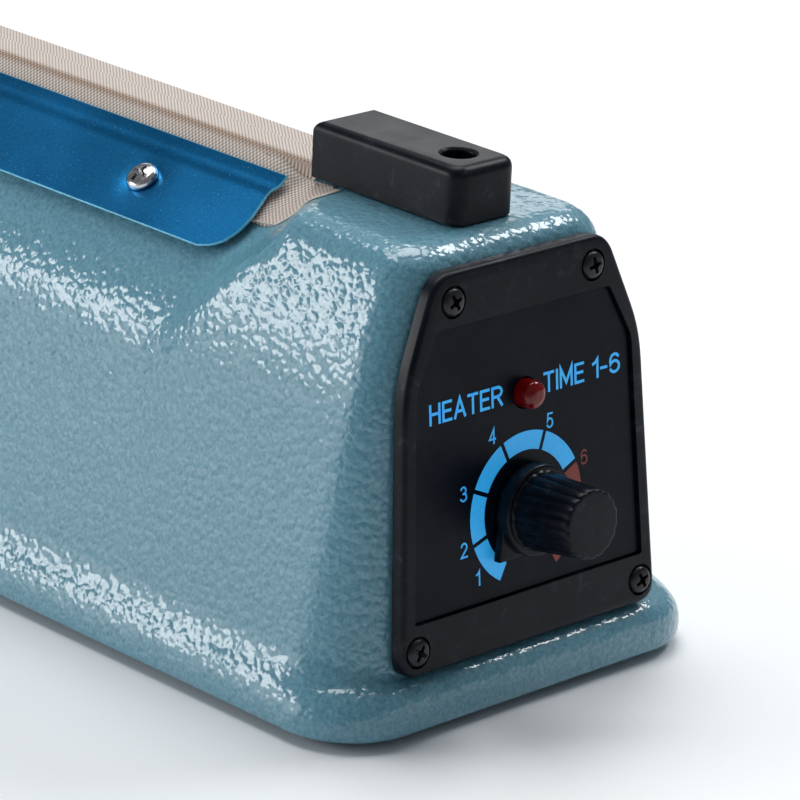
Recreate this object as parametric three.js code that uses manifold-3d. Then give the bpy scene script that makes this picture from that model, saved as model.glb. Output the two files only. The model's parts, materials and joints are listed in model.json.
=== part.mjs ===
// Hand-operated impulse heat sealer: a hollow painted casting with a timer panel at its front end, a heated
// strip under a PTFE-glass cloth along its ridge, and a sprung arm hinged at its rear end.
// Units are millimetres, +Z is up, and the panel faces -Y. The heights below are above the casting's rim.
import * as THREE from 'three';
import { mergeVertices } from 'three/addons/utils/BufferGeometryUtils.js';
import Module from 'manifold-3d';

const wasm = await Module();
wasm.setup();

// ---------------------------------------------------------------- driving dimensions
const GAP = 0.3;                        // clearance kept between pieces that touch
const FOOT_LIFT = 1.5;                  // bench to casting rim
const CASTING_REAR = 415;               // rear edge of the flange
const FLANGE_FRONT = -2.8;
const FLANGE_HALF = 44.3;
const TOP_HEIGHT = 79.4;                // flat top of the two end blocks
const RIDGE_HEIGHT = 79.6;              // ridge between them
const WALL = 3.2;

// An end block starts to drop to the ridge section here, on the centre line, and farther on away from it.
const BLOCK_END = 29.9;
const BLOCK_SKEW = 0.44;                // mm along for each mm across
const BLOCK_FLARE = { from: 23, skew: 0.7 };   // and so much more beyond this far across
const BLOCK_RUN = 13;                   // length of the drop

const PANEL_LEAN = THREE.MathUtils.degToRad(5.84);
const PANEL_BASE = 18.46;               // height of the label window's lower edge
const RIM_FRONT = 0.7;                  // bezel rim in front of the label's face
const PANEL_BACK = -2.3;                // casting's front face, behind the label's face
const BEZEL_OUTLINE = [[30.2, -8.8, 4], [27.7, 40, 5], [19.9, 58.2, 4]];
const WINDOW_OUTLINE = [[27, 0, 0.8], [25.2, 39.3, 1.5], [20.2, 48.8, 0.8]];
const PANEL_SCREWS = [[-26.4, -4.6], [26.4, -4.6], [-16.3, 53.1], [16.3, 53.1]];
const PANEL_SCREW_SEAT = 0.9;           // depth of the seats below the bezel's rim
const DIAL_V = 14.4;                    // dial centre above the window's lower edge
const LED_AT = [0.3, 34.2];
const LED_RADIUS = 2.5;
const LED_HEIGHT = 3.3;
const KNOB_TIP = 15.6;
const KNOB_REST = THREE.MathUtils.degToRad(-131);   // where its pointer rests, clockwise from straight up
const SHAFT_RADIUS = 3.0;

const GUIDE = { half: 7.1, front: 14.3, rear: 49.5, top: 89.7, holeY: 21.5, holeRadius: 2.95 };
const SEAL_START = 54;
const SEAL_LENGTH = 300;
const SEAL_END = SEAL_START + SEAL_LENGTH;
const SEAL_TOP = 81.7;                  // upper face of the cloth
const CLOTH_HALF_TOP = 5.2;
const CLOTH = 0.4;
const CLOTH_DEPTH = 0.95;               // its upper face, below a clamp plate's outer face

const PLATE_TOP = [8.5, 78.7];          // outer face of a clamp plate: upper edge, across and up
const PLATE_FOOT = [23.4, 68.0];        // and its lower edge
const PLATE_THICK = 0.5;
const PLATE_SCREW_Y = [82, 204, 326];

const PIVOT = { y: 393, z: 96 };
const OPEN_ANGLE = THREE.MathUtils.degToRad(36);
const HINGE_PIN_RADIUS = 3;
const ARM_HALF = 12;
const ARM_UNDERSIDE = 85;
const ARM_TOP = 109;
const STRIP_CLEARANCE = 0.4;            // silicone strip over the cloth with the arm shut
const SPRING_Y = 375;

// ---------------------------------------------------------------- materials
const material = (color, roughness, metalness) =>
  new THREE.MeshStandardMaterial({ color, roughness, metalness });
const HAMMERTONE = material(0x5b93a3, 0.32, 0.35);
const BLACK_PLASTIC = material(0x17181a, 0.5, 0);
const LABEL = material(0x1c2028, 0.35, 0);
const BLUE_ANODISED = material(0x1565a5, 0.3, 0.8);
const PTFE_CLOTH = material(0xb9a592, 0.7, 0);
const STEEL = material(0xb8bcc0, 0.3, 1);
const BLACK_STEEL = material(0x1b1b1d, 0.4, 0.6);
const ZINC_SHEET = material(0x9fa3a6, 0.45, 0.9);
const BRASS = material(0xc9a455, 0.35, 0.9);
const NICHROME = material(0x8d8a86, 0.4, 0.9);
const ALUMINIUM = material(0xc4c7ca, 0.4, 0.9);
const SILICONE = material(0xe9e6df, 0.7, 0);
const RUBBER = material(0x161616, 0.85, 0);
const LED_RED = material(0xa3141c, 0.15, 0);
const PCB_GREEN = material(0x1f5f3a, 0.5, 0);
const CORE_STEEL = material(0x55585c, 0.6, 0.6);
const COPPER_COIL = material(0xb8863b, 0.5, 0.3);
const BLUE_PART = material(0x2a4f8f, 0.5, 0);

// ---------------------------------------------------------------- mesh helpers
/** Merges shared vertices, drops collapsed triangles and points the faces outwards. */
function weld(source) {
  const bare = new THREE.BufferGeometry();
  bare.setAttribute('position', source.getAttribute('position').clone());
  bare.setIndex(source.index ? source.index.clone() : null);
  const merged = mergeVertices(bare, 1e-4);
  const at = merged.getAttribute('position');
  const corners = [0, 1, 2].map(() => new THREE.Vector3());
  const kept = [];
  let volume = 0;
  for (let i = 0; i < merged.index.count; i += 3) {
    const t = [0, 1, 2].map((k) => merged.index.getX(i + k));
    if (t[0] === t[1] || t[1] === t[2] || t[2] === t[0]) continue;
    kept.push(t);
    corners.forEach((c, k) => c.fromBufferAttribute(at, t[k]));
    volume += corners[0].dot(corners[1].clone().cross(corners[2]));
  }
  merged.setIndex(kept.flatMap(([a, b, c]) => (volume < 0 ? [a, c, b] : [a, b, c])));
  merged.computeVertexNormals();
  return merged;
}

const toSolid = (geometry) => {
  const welded = weld(geometry);
  return new wasm.Manifold(new wasm.Mesh({
    numProp: 3,
    vertProperties: Float32Array.from(welded.getAttribute('position').array),
    triVerts: Uint32Array.from(welded.index.array),
  }));
};

function fromSolid(solid) {
  const { vertProperties, triVerts } = solid.getMesh();
  const geometry = new THREE.BufferGeometry();
  geometry.setAttribute('position', new THREE.BufferAttribute(Float32Array.from(vertProperties), 3));
  geometry.setIndex(Array.from(triVerts));
  return geometry;
}

const joined = (first, ...rest) => fromSolid(rest.reduce((s, g) => s.add(toSolid(g)), toSolid(first)));
const cutBy = (first, ...rest) => fromSolid(rest.reduce((s, g) => s.subtract(toSolid(g)), toSolid(first)));

const group = new THREE.Group();
const sealer = new THREE.Group();       // everything, with heights above the casting rim
sealer.position.z = FOOT_LIFT;
group.add(sealer);

function add(parent, name, geometry, look) {
  const mesh = new THREE.Mesh(weld(geometry), look);
  mesh.name = name;
  parent.add(mesh);
  return mesh;
}

/** A box given by its two opposite corners. */
function box([x0, y0, z0], [x1, y1, z1]) {
  const geometry = new THREE.BoxGeometry(x1 - x0, y1 - y0, z1 - z0);
  return geometry.translate((x0 + x1) / 2, (y0 + y1) / 2, (z0 + z1) / 2);
}

/** A solid of revolution about +Z; profile is [radius, height] pairs from the axis back to the axis. */
function turned(profile, segments = 16) {
  const points = profile.map(([r, z]) => new THREE.Vector2(r, z));
  return new THREE.LatheGeometry(points, segments).rotateX(Math.PI / 2);
}

const rod = (radius, z0, z1, segments = 16) =>
  turned([[0, z0], [radius, z0], [radius, z1], [0, z1]], segments);

const tube = (outer, inner, z0, z1, segments = 16) =>
  turned([[inner, z0], [outer, z0], [outer, z1], [inner, z1], [inner, z0]], segments);

/** A closed outline as a THREE.Shape, each corner [x, y, setback] softened by a curve. */
function softOutline(corners) {
  const shape = new THREE.Shape();
  const towards = (from, to, setback) => {
    const length = Math.hypot(to[0] - from[0], to[1] - from[1]);
    const k = Math.min(setback / length, 0.49);
    return [THREE.MathUtils.lerp(from[0], to[0], k), THREE.MathUtils.lerp(from[1], to[1], k)];
  };
  corners.forEach((corner, i) => {
    const start = towards(corner, corners[(i + corners.length - 1) % corners.length], corner[2]);
    const end = towards(corner, corners[(i + 1) % corners.length], corner[2]);
    if (i) shape.lineTo(...start);
    else shape.moveTo(...start);
    if (corner[2]) shape.quadraticCurveTo(corner[0], corner[1], ...end);
  });
  shape.closePath();
  return shape;
}

/** The full outline of a shape that is alike on both sides of x = 0, from its right-hand corners. */
const bothSides = (corners) => [...corners, ...corners.map(([x, y, r]) => [-x, y, r]).reverse()];

/** An outline drawn in Y (across the page) and Z (up it), made solid from x = -half to x = half. */
function sideExtrusion(corners, half, bevel = 0, bevelSegments = 2) {
  const geometry = new THREE.ExtrudeGeometry(softOutline(corners), {
    depth: 2 * (half - bevel),
    bevelEnabled: bevel > 0,
    bevelSize: bevel,
    bevelThickness: bevel,
    bevelOffset: -bevel,
    bevelSegments,
    curveSegments: 5,
  });
  geometry.translate(0, 0, bevel - half);
  return geometry.applyMatrix4(new THREE.Matrix4().set(0, 0, 1, 0, 1, 0, 0, 0, 0, 1, 0, 0, 0, 0, 0, 1));
}

/** A cross-head screw along +Z: pan head on z = 0, shank below it. */
function crossHeadScrew(headRadius, headHeight, shankRadius, length) {
  const head = turned([[0, -length], [shankRadius, -length], [shankRadius, 0], [headRadius, 0],
    [headRadius, headHeight * 0.45], [headRadius * 0.72, headHeight * 0.9], [0, headHeight]], 10);
  const arm = headRadius * 0.5;
  const slot = headRadius * 0.12;
  const floor = headHeight * 0.35;
  return cutBy(head, box([-arm, -slot, floor], [arm, slot, headHeight + 1]),
    box([-slot, -arm, floor], [slot, arm, headHeight + 1]));
}

// ---------------------------------------------------------------- casting: sections and rings
/** Height-dependent front face, parallel to the label. */
const frontFace = (z) => (z - PANEL_BASE) * Math.tan(PANEL_LEAN) - PANEL_BACK / Math.cos(PANEL_LEAN);

/** Corners [a, b, c, setback] as points, each corner as a curve of its own setback. */
function softPath(corners, steps) {
  const points = [];
  corners.forEach(([a, b, c, setback], i) => {
    const here = new THREE.Vector3(a, b, c);
    if (!setback) {
      points.push(here);
      return;
    }
    const reach = (to) => {
      const other = new THREE.Vector3(...to.slice(0, 3));
      return here.clone().lerp(other, setback / Math.hypot(other.x - a, other.y - b));
    };
    const curve = new THREE.QuadraticBezierCurve3(reach(corners[i - 1]), here, reach(corners[i + 1]));
    points.push(...curve.getPoints(steps));
  });
  return points;
}

/** The casting's skin, moved inwards by inset, as a closed solid that reaches down to floor. */
function castingSkin({ inset, floor, steps, cornerSteps, stations }) {
  const t = inset;
  const slope = t * 0.45;
  const top = TOP_HEIGHT - t;
  const ridge = RIDGE_HEIGHT - t * 1.1;
  // Each path runs from the rim to the centre line, and its third value is the corner radius in plan.
  const foot = [[FLANGE_HALF - t, floor, 14.5 - t, 0], [43.9 - t, 5.2 - t, 14.5 - t, 3.4 - t],
    [40.4 - t, 10.6 - slope, 15, 3.2]];
  const endSection = softPath([...foot,
    [31.4 - t, 58.5 - slope, 7, 8], [26.95 - t, 68.95 - slope, 7, 3], [22.5 - t, top, 7, 5],
    [9, top, 3, 2], [0, top, 0, 0]], steps);
  const middleSection = softPath([...foot,
    [31.6 - t, 54.5 - slope, 7, 6], [23.6 - t * 0.6, 65.9 - t * 0.8, 7, 5],
    [7.2 - t * 0.4, 77.5 - t, 7, 1.2], [4.7 - t * 0.4, ridge, 3, 0.8], [0, ridge, 0, 0]], steps);
  const frontProfile = softPath([
    [FLANGE_FRONT + t, floor, 0, 0], [FLANGE_FRONT + t, 8.2 - t, 0, 3],
    [frontFace(9.1) + t, 9.1 - slope, 0, 0.8], [frontFace(58.5) + t, 58.5 - slope, 0, 8],
    [frontFace(69) + t, 69 - slope, 0, 3], [frontFace(top) + t, top, 0, 6],
    [20 + t, top, 0, 2], [30, top, 0, 0]], steps);
  const rearProfile = softPath([
    [t, floor, 0, 0], [0.4 + t, 10.6 - t, 0, 5.5 - t], [6 + t, 12.6 - slope, 0, 1],
    [8.2 + t, 58.5 - slope, 0, 8], [8.7 + t, 69 - slope, 0, 3], [9.2 + t, top, 0, 6],
    [22 + t, top, 0, 2], [31, top, 0, 0]], steps);

  const ring = (k) => {
    const [side, mid, front, rear] = [endSection[k], middleSection[k], frontProfile[k], rearProfile[k]];
    const radius = side.z;
    const half = [];
    const edge = (end, endY, sign) => {
      const corner = [];
      for (let i = 0; i <= cornerSteps; i += 1) {
        const angle = (i / cornerSteps) * Math.PI / 2;
        corner.push(new THREE.Vector3(side.x - radius + radius * Math.sin(angle),
          endY + sign * (radius - radius * Math.cos(angle)),
          THREE.MathUtils.lerp(end.y, side.y, THREE.MathUtils.smoothstep(i / cornerSteps, 0, 1))));
      }
      const middle = new THREE.Vector3(0, endY, end.y);
      return [middle, middle.clone().lerp(corner[0], 0.5), ...corner];
    };
    half.push(...edge(front, front.x, 1));
    for (const y of stations) {
      const fromEnd = Math.min(y, CASTING_REAR - y);
      const across = (side.x + mid.x) / 2;
      const flare = BLOCK_FLARE.skew * Math.max(across - BLOCK_FLARE.from, 0);
      const start = BLOCK_END + BLOCK_SKEW * across + flare;
      const drop = THREE.MathUtils.smoothstep((fromEnd - start) / BLOCK_RUN, 0, 1);
      half.push(new THREE.Vector3(THREE.MathUtils.lerp(side.x, mid.x, drop), y,
        THREE.MathUtils.lerp(side.y, mid.y, drop)));
    }
    half.push(...edge(rear, CASTING_REAR - rear.x, -1).reverse());
    return half;
  };

  const rings = endSection.map((_, k) => ring(k));
  const across = rings[0].length;
  const positions = [];
  const index = [];
  for (const half of rings) {
    half.forEach((p) => positions.push(p.x, p.y, p.z));
    half.forEach((p) => positions.push(-p.x, p.y, p.z));
  }
  const at = (k, i, left) => k * 2 * across + (left ? across : 0) + i;
  const quad = (a, b, c, d) => index.push(a, b, c, a, c, d);
  for (let i = 0; i + 1 < across; i += 1) {
    for (let k = 0; k + 1 < rings.length; k += 1) {
      quad(at(k, i, 0), at(k, i + 1, 0), at(k + 1, i + 1, 0), at(k + 1, i, 0));
      quad(at(k, i + 1, 1), at(k, i, 1), at(k + 1, i, 1), at(k + 1, i + 1, 1));
    }
    quad(at(0, i, 1), at(0, i + 1, 1), at(0, i + 1, 0), at(0, i, 0));
  }
  const geometry = new THREE.BufferGeometry();
  geometry.setAttribute('position', new THREE.BufferAttribute(new Float32Array(positions), 3));
  geometry.setIndex(index);
  return geometry;
}

/** Places along the length where the section is drawn: close together where it changes. */
function stationsFrom(count) {
  const FIRST = 33;
  const REACH = 34;
  const near = Array.from({ length: count }, (_, i) => FIRST + (i / (count - 1)) * REACH);
  return [...near, CASTING_REAR / 2, ...near.map((y) => CASTING_REAR - y).reverse()];
}

// Panel pieces are drawn in a frame of their own: x across, y up the panel, z out of the label's face.
const panelMatrix = new THREE.Matrix4().makeRotationX(Math.PI / 2 - PANEL_LEAN).setPosition(0, 0, PANEL_BASE);
const panel = new THREE.Group();
panel.applyMatrix4(panelMatrix);
sealer.add(panel);
const onPanel = (geometry) => geometry.applyMatrix4(panelMatrix);

// A clamp plate lies along the slope of the ridge; its frame has x down the slope and z out of it.
const SLOPE = Math.atan2(PLATE_TOP[1] - PLATE_FOOT[1], PLATE_FOOT[0] - PLATE_TOP[0]);
const PLATE_WIDTH = Math.hypot(PLATE_TOP[1] - PLATE_FOOT[1], PLATE_FOOT[0] - PLATE_TOP[0]);
const slopeMatrix = (side) => new THREE.Matrix4().makeScale(side, 1, 1)
  .multiply(new THREE.Matrix4().makeTranslation(PLATE_TOP[0], 0, PLATE_TOP[1]))
  .multiply(new THREE.Matrix4().makeRotationY(SLOPE));
const SCREW_DOWN_SLOPE = 9.9;
const PLATE_SCREW = { headRadius: 3, headHeight: 1.8, shankRadius: 1.5, length: 8 };

const FEET = [[-32.5, 22], [32.5, 22], [-32.5, 391], [32.5, 391]];
const BOTTOM_PLATE = { half: 40, corner: 15, z0: 1.0, z1: 2.4 };
const BOSS_RADIUS = 4.5;
const BOSS_TOP = 14.5;
const LUG = { inner: 12.5, outer: 18.5, radius: 11 };
const HINGE_BORE = HINGE_PIN_RADIUS + 0.2;
const TERMINAL_HALF = 3.6;
const FRONT_TERMINAL = [38, 46];
const CLOTH_MARGIN = 5;                 // the cloth stops short of the strip's ends by this much
const REAR_TERMINAL = [358, 366];
const TERMINAL_POCKET = { side: TERMINAL_HALF + 0.6, end: 0.8, floor: 66 };
const GUIDE_SCREW_Y = 31.5;
const SPRING_SEAT = 72;
const SPRING_POCKET = 6.8;
const INLET = { z: 24, radius: 6 };

const acrossX = (geometry, y, z) => geometry.rotateY(Math.PI / 2).translate(0, y, z);

// ---------------------------------------------------------------- base casting
function baseCasting() {
  const outer = castingSkin({ inset: 0, floor: 0, steps: 2, cornerSteps: 3, stations: stationsFrom(7) });
  const inner = castingSkin({ inset: WALL, floor: -2, steps: 1, cornerSteps: 2, stations: stationsFrom(4) });
  let solid = toSolid(outer).subtract(toSolid(inner));
  for (const [x, y] of FEET) {
    solid = solid.add(toSolid(rod(BOSS_RADIUS, BOTTOM_PLATE.z1 + GAP, BOSS_TOP, 12).translate(x, y, 0)));
    solid = solid.subtract(toSolid(rod(2.0, 0, 7.5, 10).translate(x, y, 0)));
  }
  const cup = rod(SPRING_POCKET + 3, SPRING_SEAT - 3, TOP_HEIGHT - 1, 16);
  solid = solid.add(toSolid(cup.translate(0, SPRING_Y, 0)));
  const ear = [[PIVOT.y - 17, TOP_HEIGHT - 1.5, 0.5], [PIVOT.y - LUG.radius, PIVOT.z + 2, 6],
    [PIVOT.y - 2, PIVOT.z + LUG.radius, 6], [PIVOT.y + 8, PIVOT.z + LUG.radius - 2, 6],
    [PIVOT.y + 10.5, TOP_HEIGHT - 9, 0.5]];
  const both = sideExtrusion(ear, LUG.outer);
  const between = box([-LUG.inner, PIVOT.y - 30, TOP_HEIGHT - 0.01],
    [LUG.inner, PIVOT.y + 30, PIVOT.z + 30]);
  const terminalPocket = ([y0, y1]) => box(
    [-TERMINAL_POCKET.side, y0 - TERMINAL_POCKET.end, TERMINAL_POCKET.floor],
    [TERMINAL_POCKET.side, y1 + TERMINAL_POCKET.end, GUIDE.top],
  );
  const ears = toSolid(both).subtract(toSolid(between));
  solid = solid.add(ears);
  const cuts = [
    rod(SPRING_POCKET, SPRING_SEAT, TOP_HEIGHT + 2, 16).translate(0, SPRING_Y, 0),
    acrossX(rod(HINGE_BORE, -40, 40, 20), PIVOT.y, PIVOT.z),
    onPanel(box([-22, 3, -9], [22, 45, 0])),
    terminalPocket(FRONT_TERMINAL),
    terminalPocket(REAR_TERMINAL),
    rod(4, 70, GUIDE.top).translate(0, GUIDE.holeY, 0),
    rod(1.8, 70, GUIDE.top, 10).translate(0, GUIDE_SCREW_Y, 0),
    rod(INLET.radius, -20, 20).rotateX(Math.PI / 2).translate(0, CASTING_REAR - 8, INLET.z),
    ...PANEL_SCREWS.map(([x, v]) => onPanel(rod(1.5, -12, 0, 10).translate(x, v, 0))),
  ];
  for (const side of [-1, 1]) {
    for (const y of PLATE_SCREW_Y) {
      cuts.push(rod(PLATE_SCREW.shankRadius + GAP, -11, 3, 10).translate(SCREW_DOWN_SLOPE, y, 0)
        .applyMatrix4(slopeMatrix(side)));
    }
  }
  for (const c of cuts) solid = solid.subtract(toSolid(c));
  return fromSolid(solid);
}
add(sealer, 'base_casting', baseCasting(), HAMMERTONE);

// ---------------------------------------------------------------- bottom plate, feet and their screws
function bottomPlate() {
  const y0 = FLANGE_FRONT + WALL + 0.7;
  const y1 = CASTING_REAR - WALL - 0.7;
  const { half, corner, z0, z1 } = BOTTOM_PLATE;
  const plate = new THREE.ExtrudeGeometry(softOutline(bothSides([[half, y0, corner], [half, y1, corner]])),
    { depth: z1 - z0, bevelEnabled: false, curveSegments: 4 }).translate(0, 0, z0);
  const holes = FEET.map(([x, y]) => rod(2.1, 0, 5, 10).translate(x, y, 0));
  return cutBy(plate, ...holes);
}
add(sealer, 'bottom_plate', bottomPlate(), ZINC_SHEET);
const CORNER_NAMES = ['front_left', 'front_right', 'rear_left', 'rear_right'];
FEET.forEach(([x, y], i) => {
  const top = BOTTOM_PLATE.z0 - GAP;
  const foot = turned([[2.1, top], [2.1, -0.2], [3.9, -0.2], [3.9, -FOOT_LIFT], [7, -FOOT_LIFT],
    [7.6, top], [2.1, top]], 16);
  add(sealer, `foot_${CORNER_NAMES[i]}`, foot.translate(x, y, 0), RUBBER);
  const screw = turned([[0, 7], [1.7, 7], [1.7, -0.4], [3.4, -0.4], [3.4, -1.1], [0, -1.3]], 12);
  add(sealer, `foot_screw_${CORNER_NAMES[i]}`, screw.translate(x, y, 0), STEEL);
});

// ---------------------------------------------------------------- control panel
const LABEL_THICK = 1.0;
const BUSH_HOLE = 3.9;
const LED_HOLE = LED_RADIUS + GAP;
function bezel() {
  const outline = new THREE.ExtrudeGeometry(softOutline(bothSides(BEZEL_OUTLINE)), {
    depth: RIM_FRONT - PANEL_BACK - GAP - 0.8,
    bevelSize: 0.8,
    bevelThickness: 0.8,
    bevelOffset: -0.8,
    bevelSegments: 2,
    curveSegments: 3,
  }).translate(0, 0, PANEL_BACK + GAP);
  const rear = box([-60, -40, PANEL_BACK - 5], [60, 90, PANEL_BACK + GAP]);
  const window = new THREE.ExtrudeGeometry(softOutline(bothSides(WINDOW_OUTLINE)),
    { depth: 6, bevelEnabled: false, curveSegments: 2 }).translate(0, 0, -LABEL_THICK - GAP);
  const holes = PANEL_SCREWS.map(([x, v]) => rod(1.6, -9, 9, 12).translate(x, v, 0));
  const through = [rod(BUSH_HOLE, -9, 9, 16).translate(0, DIAL_V, 0),
    rod(LED_HOLE, -9, 9, 16).translate(...LED_AT, 0)];
  const seat = RIM_FRONT - PANEL_SCREW_SEAT;
  const seats = PANEL_SCREWS.map(([x, v]) => rod(2.8, seat, 9, 16).translate(x, v, 0));
  return cutBy(outline, rear, window, ...holes, ...through, ...seats);
}
add(panel, 'panel_bezel', bezel(), BLACK_PLASTIC);

const insetOutline = (corners, by) => corners.map(([x, y, r]) => [x - by, y < 1 ? y + by : y - by * 0.4, r]);
const labelOutline = softOutline(bothSides(insetOutline(WINDOW_OUTLINE, GAP)));
const labelPlate = new THREE.ExtrudeGeometry(labelOutline,
  { depth: LABEL_THICK, bevelEnabled: false, curveSegments: 2 });
add(panel, 'label_plate', cutBy(labelPlate.translate(0, 0, -LABEL_THICK),
  rod(BUSH_HOLE, -9, 9, 16).translate(0, DIAL_V, 0),
  rod(LED_HOLE, -9, 9, 16).translate(...LED_AT, 0)), LABEL);
PANEL_SCREWS.forEach(([x, v], i) => {
  const screw = crossHeadScrew(2.45, 1.4, 1.2, 8).translate(x, v, RIM_FRONT - PANEL_SCREW_SEAT + GAP);
  add(panel, `panel_screw_${i + 1}`, screw, BLACK_STEEL);
});

const ledProfile = [[0, -7], [LED_RADIUS, -7], [LED_RADIUS, LED_HEIGHT - 2.3], [2.3, LED_HEIGHT - 1.3],
  [1.65, LED_HEIGHT - 0.5], [0.85, LED_HEIGHT - 0.1], [0, LED_HEIGHT]];
add(panel, 'indicator_led', turned(ledProfile, 16).translate(...LED_AT, 0), LED_RED);
add(panel, 'led_holder', tube(4.2, LED_HOLE, -6.6, -2.6, 16).translate(...LED_AT, 0), BLACK_PLASTIC);

// timer potentiometer: body and threaded bush fixed to the panel, shaft and knob turning in them
const POT = { radius: 8.2, z0: -13, z1: -3.2, bush: 3.5 };
const potBody = joined(rod(POT.radius, POT.z0, POT.z1, 20), rod(POT.bush, POT.z1 - 1, 4.2, 16));
const potentiometer = cutBy(potBody, rod(SHAFT_RADIUS - 0.4, POT.z0 + 3, 9, 16));
add(panel, 'timer_potentiometer', potentiometer.translate(0, DIAL_V, 0), ZINC_SHEET);
const hexNut = new THREE.CylinderGeometry(5, 5, 2, 6).rotateX(Math.PI / 2).translate(0, 0, GAP + 1);
add(panel, 'potentiometer_nut', cutBy(hexNut, rod(POT.bush + GAP, -1, 9, 16)).translate(0, DIAL_V, 0), STEEL);

const SHAFT_THIN = SHAFT_RADIUS - 0.7;
const shaft = turned([[0, POT.z0 + 3.5], [SHAFT_THIN, POT.z0 + 3.5], [SHAFT_THIN, 4.6], [SHAFT_RADIUS, 4.6],
  [SHAFT_RADIUS, 12.5], [0, 12.5]], 16);
add(panel, 'timer_shaft', shaft.translate(0, DIAL_V, 0), ALUMINIUM);

/** Fluted knob that tapers a little to its flat end, on a plain skirt with a pointer. */
function timerKnob() {
  const FLUTES = 18;
  const FLUTE_DEPTH = 0.25;
  const GRIP_FOOT = 6.75;
  const GRIP_TIP = 5.95;
  const SKIRT = 7.9;
  const SKIRT_BOTTOM = 0.8;
  const SKIRT_TOP = 3.6;
  const outline = new THREE.Shape();
  for (let i = 0; i < FLUTES * 2; i += 1) {
    const angle = (i / (FLUTES * 2)) * 2 * Math.PI;
    const r = i % 2 ? GRIP_FOOT - FLUTE_DEPTH : GRIP_FOOT;
    if (i) outline.lineTo(r * Math.cos(angle), r * Math.sin(angle));
    else outline.moveTo(r, 0);
  }
  outline.closePath();
  const height = KNOB_TIP - SKIRT_TOP + 0.4;
  const grip = new THREE.ExtrudeGeometry(outline, { depth: height, bevelEnabled: false });
  const place = grip.getAttribute('position');
  for (let i = 0; i < place.count; i += 1) {
    const k = THREE.MathUtils.lerp(1, GRIP_TIP / GRIP_FOOT, place.getZ(i) / height);
    place.setXY(i, place.getX(i) * k, place.getY(i) * k);
  }
  grip.translate(0, 0, SKIRT_TOP - 0.4);
  const skirt = turned([[0, SKIRT_BOTTOM], [SKIRT, SKIRT_BOTTOM], [SKIRT, SKIRT_TOP - 0.8],
    [SKIRT - 0.7, SKIRT_TOP], [0, SKIRT_TOP]], 24);
  const lug = new THREE.Shape([[0, 11.5], [-4.2, 6.2], [4.2, 6.2]].map(([x, y]) => new THREE.Vector2(x, y)));
  const pointer = new THREE.ExtrudeGeometry(lug, { depth: 1.4, bevelEnabled: false });
  pointer.translate(0, 0, SKIRT_BOTTOM).rotateZ(-KNOB_REST);
  const hollow = rod(5.9, 0, 4.6, 18);
  const bore = rod(SHAFT_RADIUS + GAP, 3, 12.8, 16);
  return cutBy(joined(grip, skirt, pointer), hollow, bore);
}
add(panel, 'timer_knob', timerKnob().translate(0, DIAL_V, 0), BLACK_PLASTIC);

// timer board behind the potentiometer, with its relay and capacitor
const BOARD_Z = -15.2;
add(panel, 'timer_board', box([-23, 0.5, BOARD_Z - 1.6], [23, 29, BOARD_Z]), PCB_GREEN);
add(panel, 'timer_relay', box([5, 9, BOARD_Z - 17.5], [20, 25, BOARD_Z - 1.9]), BLUE_PART);
add(panel, 'timer_capacitor', rod(5, BOARD_Z - 18, BOARD_Z - 1.9).translate(-13, 17, 0), BLACK_PLASTIC);

// ---------------------------------------------------------------- guide block and microswitch
function guideBlock() {
  const [length, half] = [GUIDE.rear - GUIDE.front, GUIDE.half];
  const shape = softOutline([[half, -length / 2, 2.6], [half, length / 2, 0], [-half, length / 2, 0],
    [-half, -length / 2, 2.6]]);
  const height = GUIDE.top - TOP_HEIGHT - GAP;
  const ROUND = 1.6;
  const block = new THREE.ExtrudeGeometry(shape, {
    depth: height - ROUND,
    bevelSize: ROUND,
    bevelThickness: ROUND,
    bevelOffset: -ROUND,
    bevelSegments: 3,
    curveSegments: 3,
  });
  block.translate(0, (GUIDE.front + GUIDE.rear) / 2, TOP_HEIGHT + GAP);
  const floor = TOP_HEIGHT + GAP;
  const { holeRadius, top } = GUIDE;
  const hole = turned([[0, floor - 9], [holeRadius, floor - 9], [holeRadius, top - 0.5],
    [holeRadius + 0.6, top + 0.1], [holeRadius + 0.6, top + 4], [0, top + 4]], 20);
  const below = box([-30, 0, floor - 9], [30, 70, floor]);
  const pocket = box([-4.7, FRONT_TERMINAL[0] - 1, floor - 9], [4.7, GUIDE.rear - 1.6, floor + 5]);
  const mouth = box([-5.8, GUIDE.rear - 3, floor - 9], [5.8, GUIDE.rear + 9, floor + 2.8]);
  const screwHole = rod(1.6, floor - 9, floor + 6, 10).translate(0, GUIDE_SCREW_Y, 0);
  return cutBy(block, below, hole.translate(0, GUIDE.holeY, 0), pocket, mouth, screwHole);
}
add(sealer, 'guide_block', guideBlock(), BLACK_PLASTIC);
const UNDER_TOP = TOP_HEIGHT - WALL - GAP;   // just below the underside of the end block's top wall
const upwards = crossHeadScrew(2.8, 1.6, 1.3, 10).rotateX(Math.PI);
add(sealer, 'guide_block_screw', upwards.translate(0, GUIDE_SCREW_Y, UNDER_TOP - 0.2), STEEL);

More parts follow.
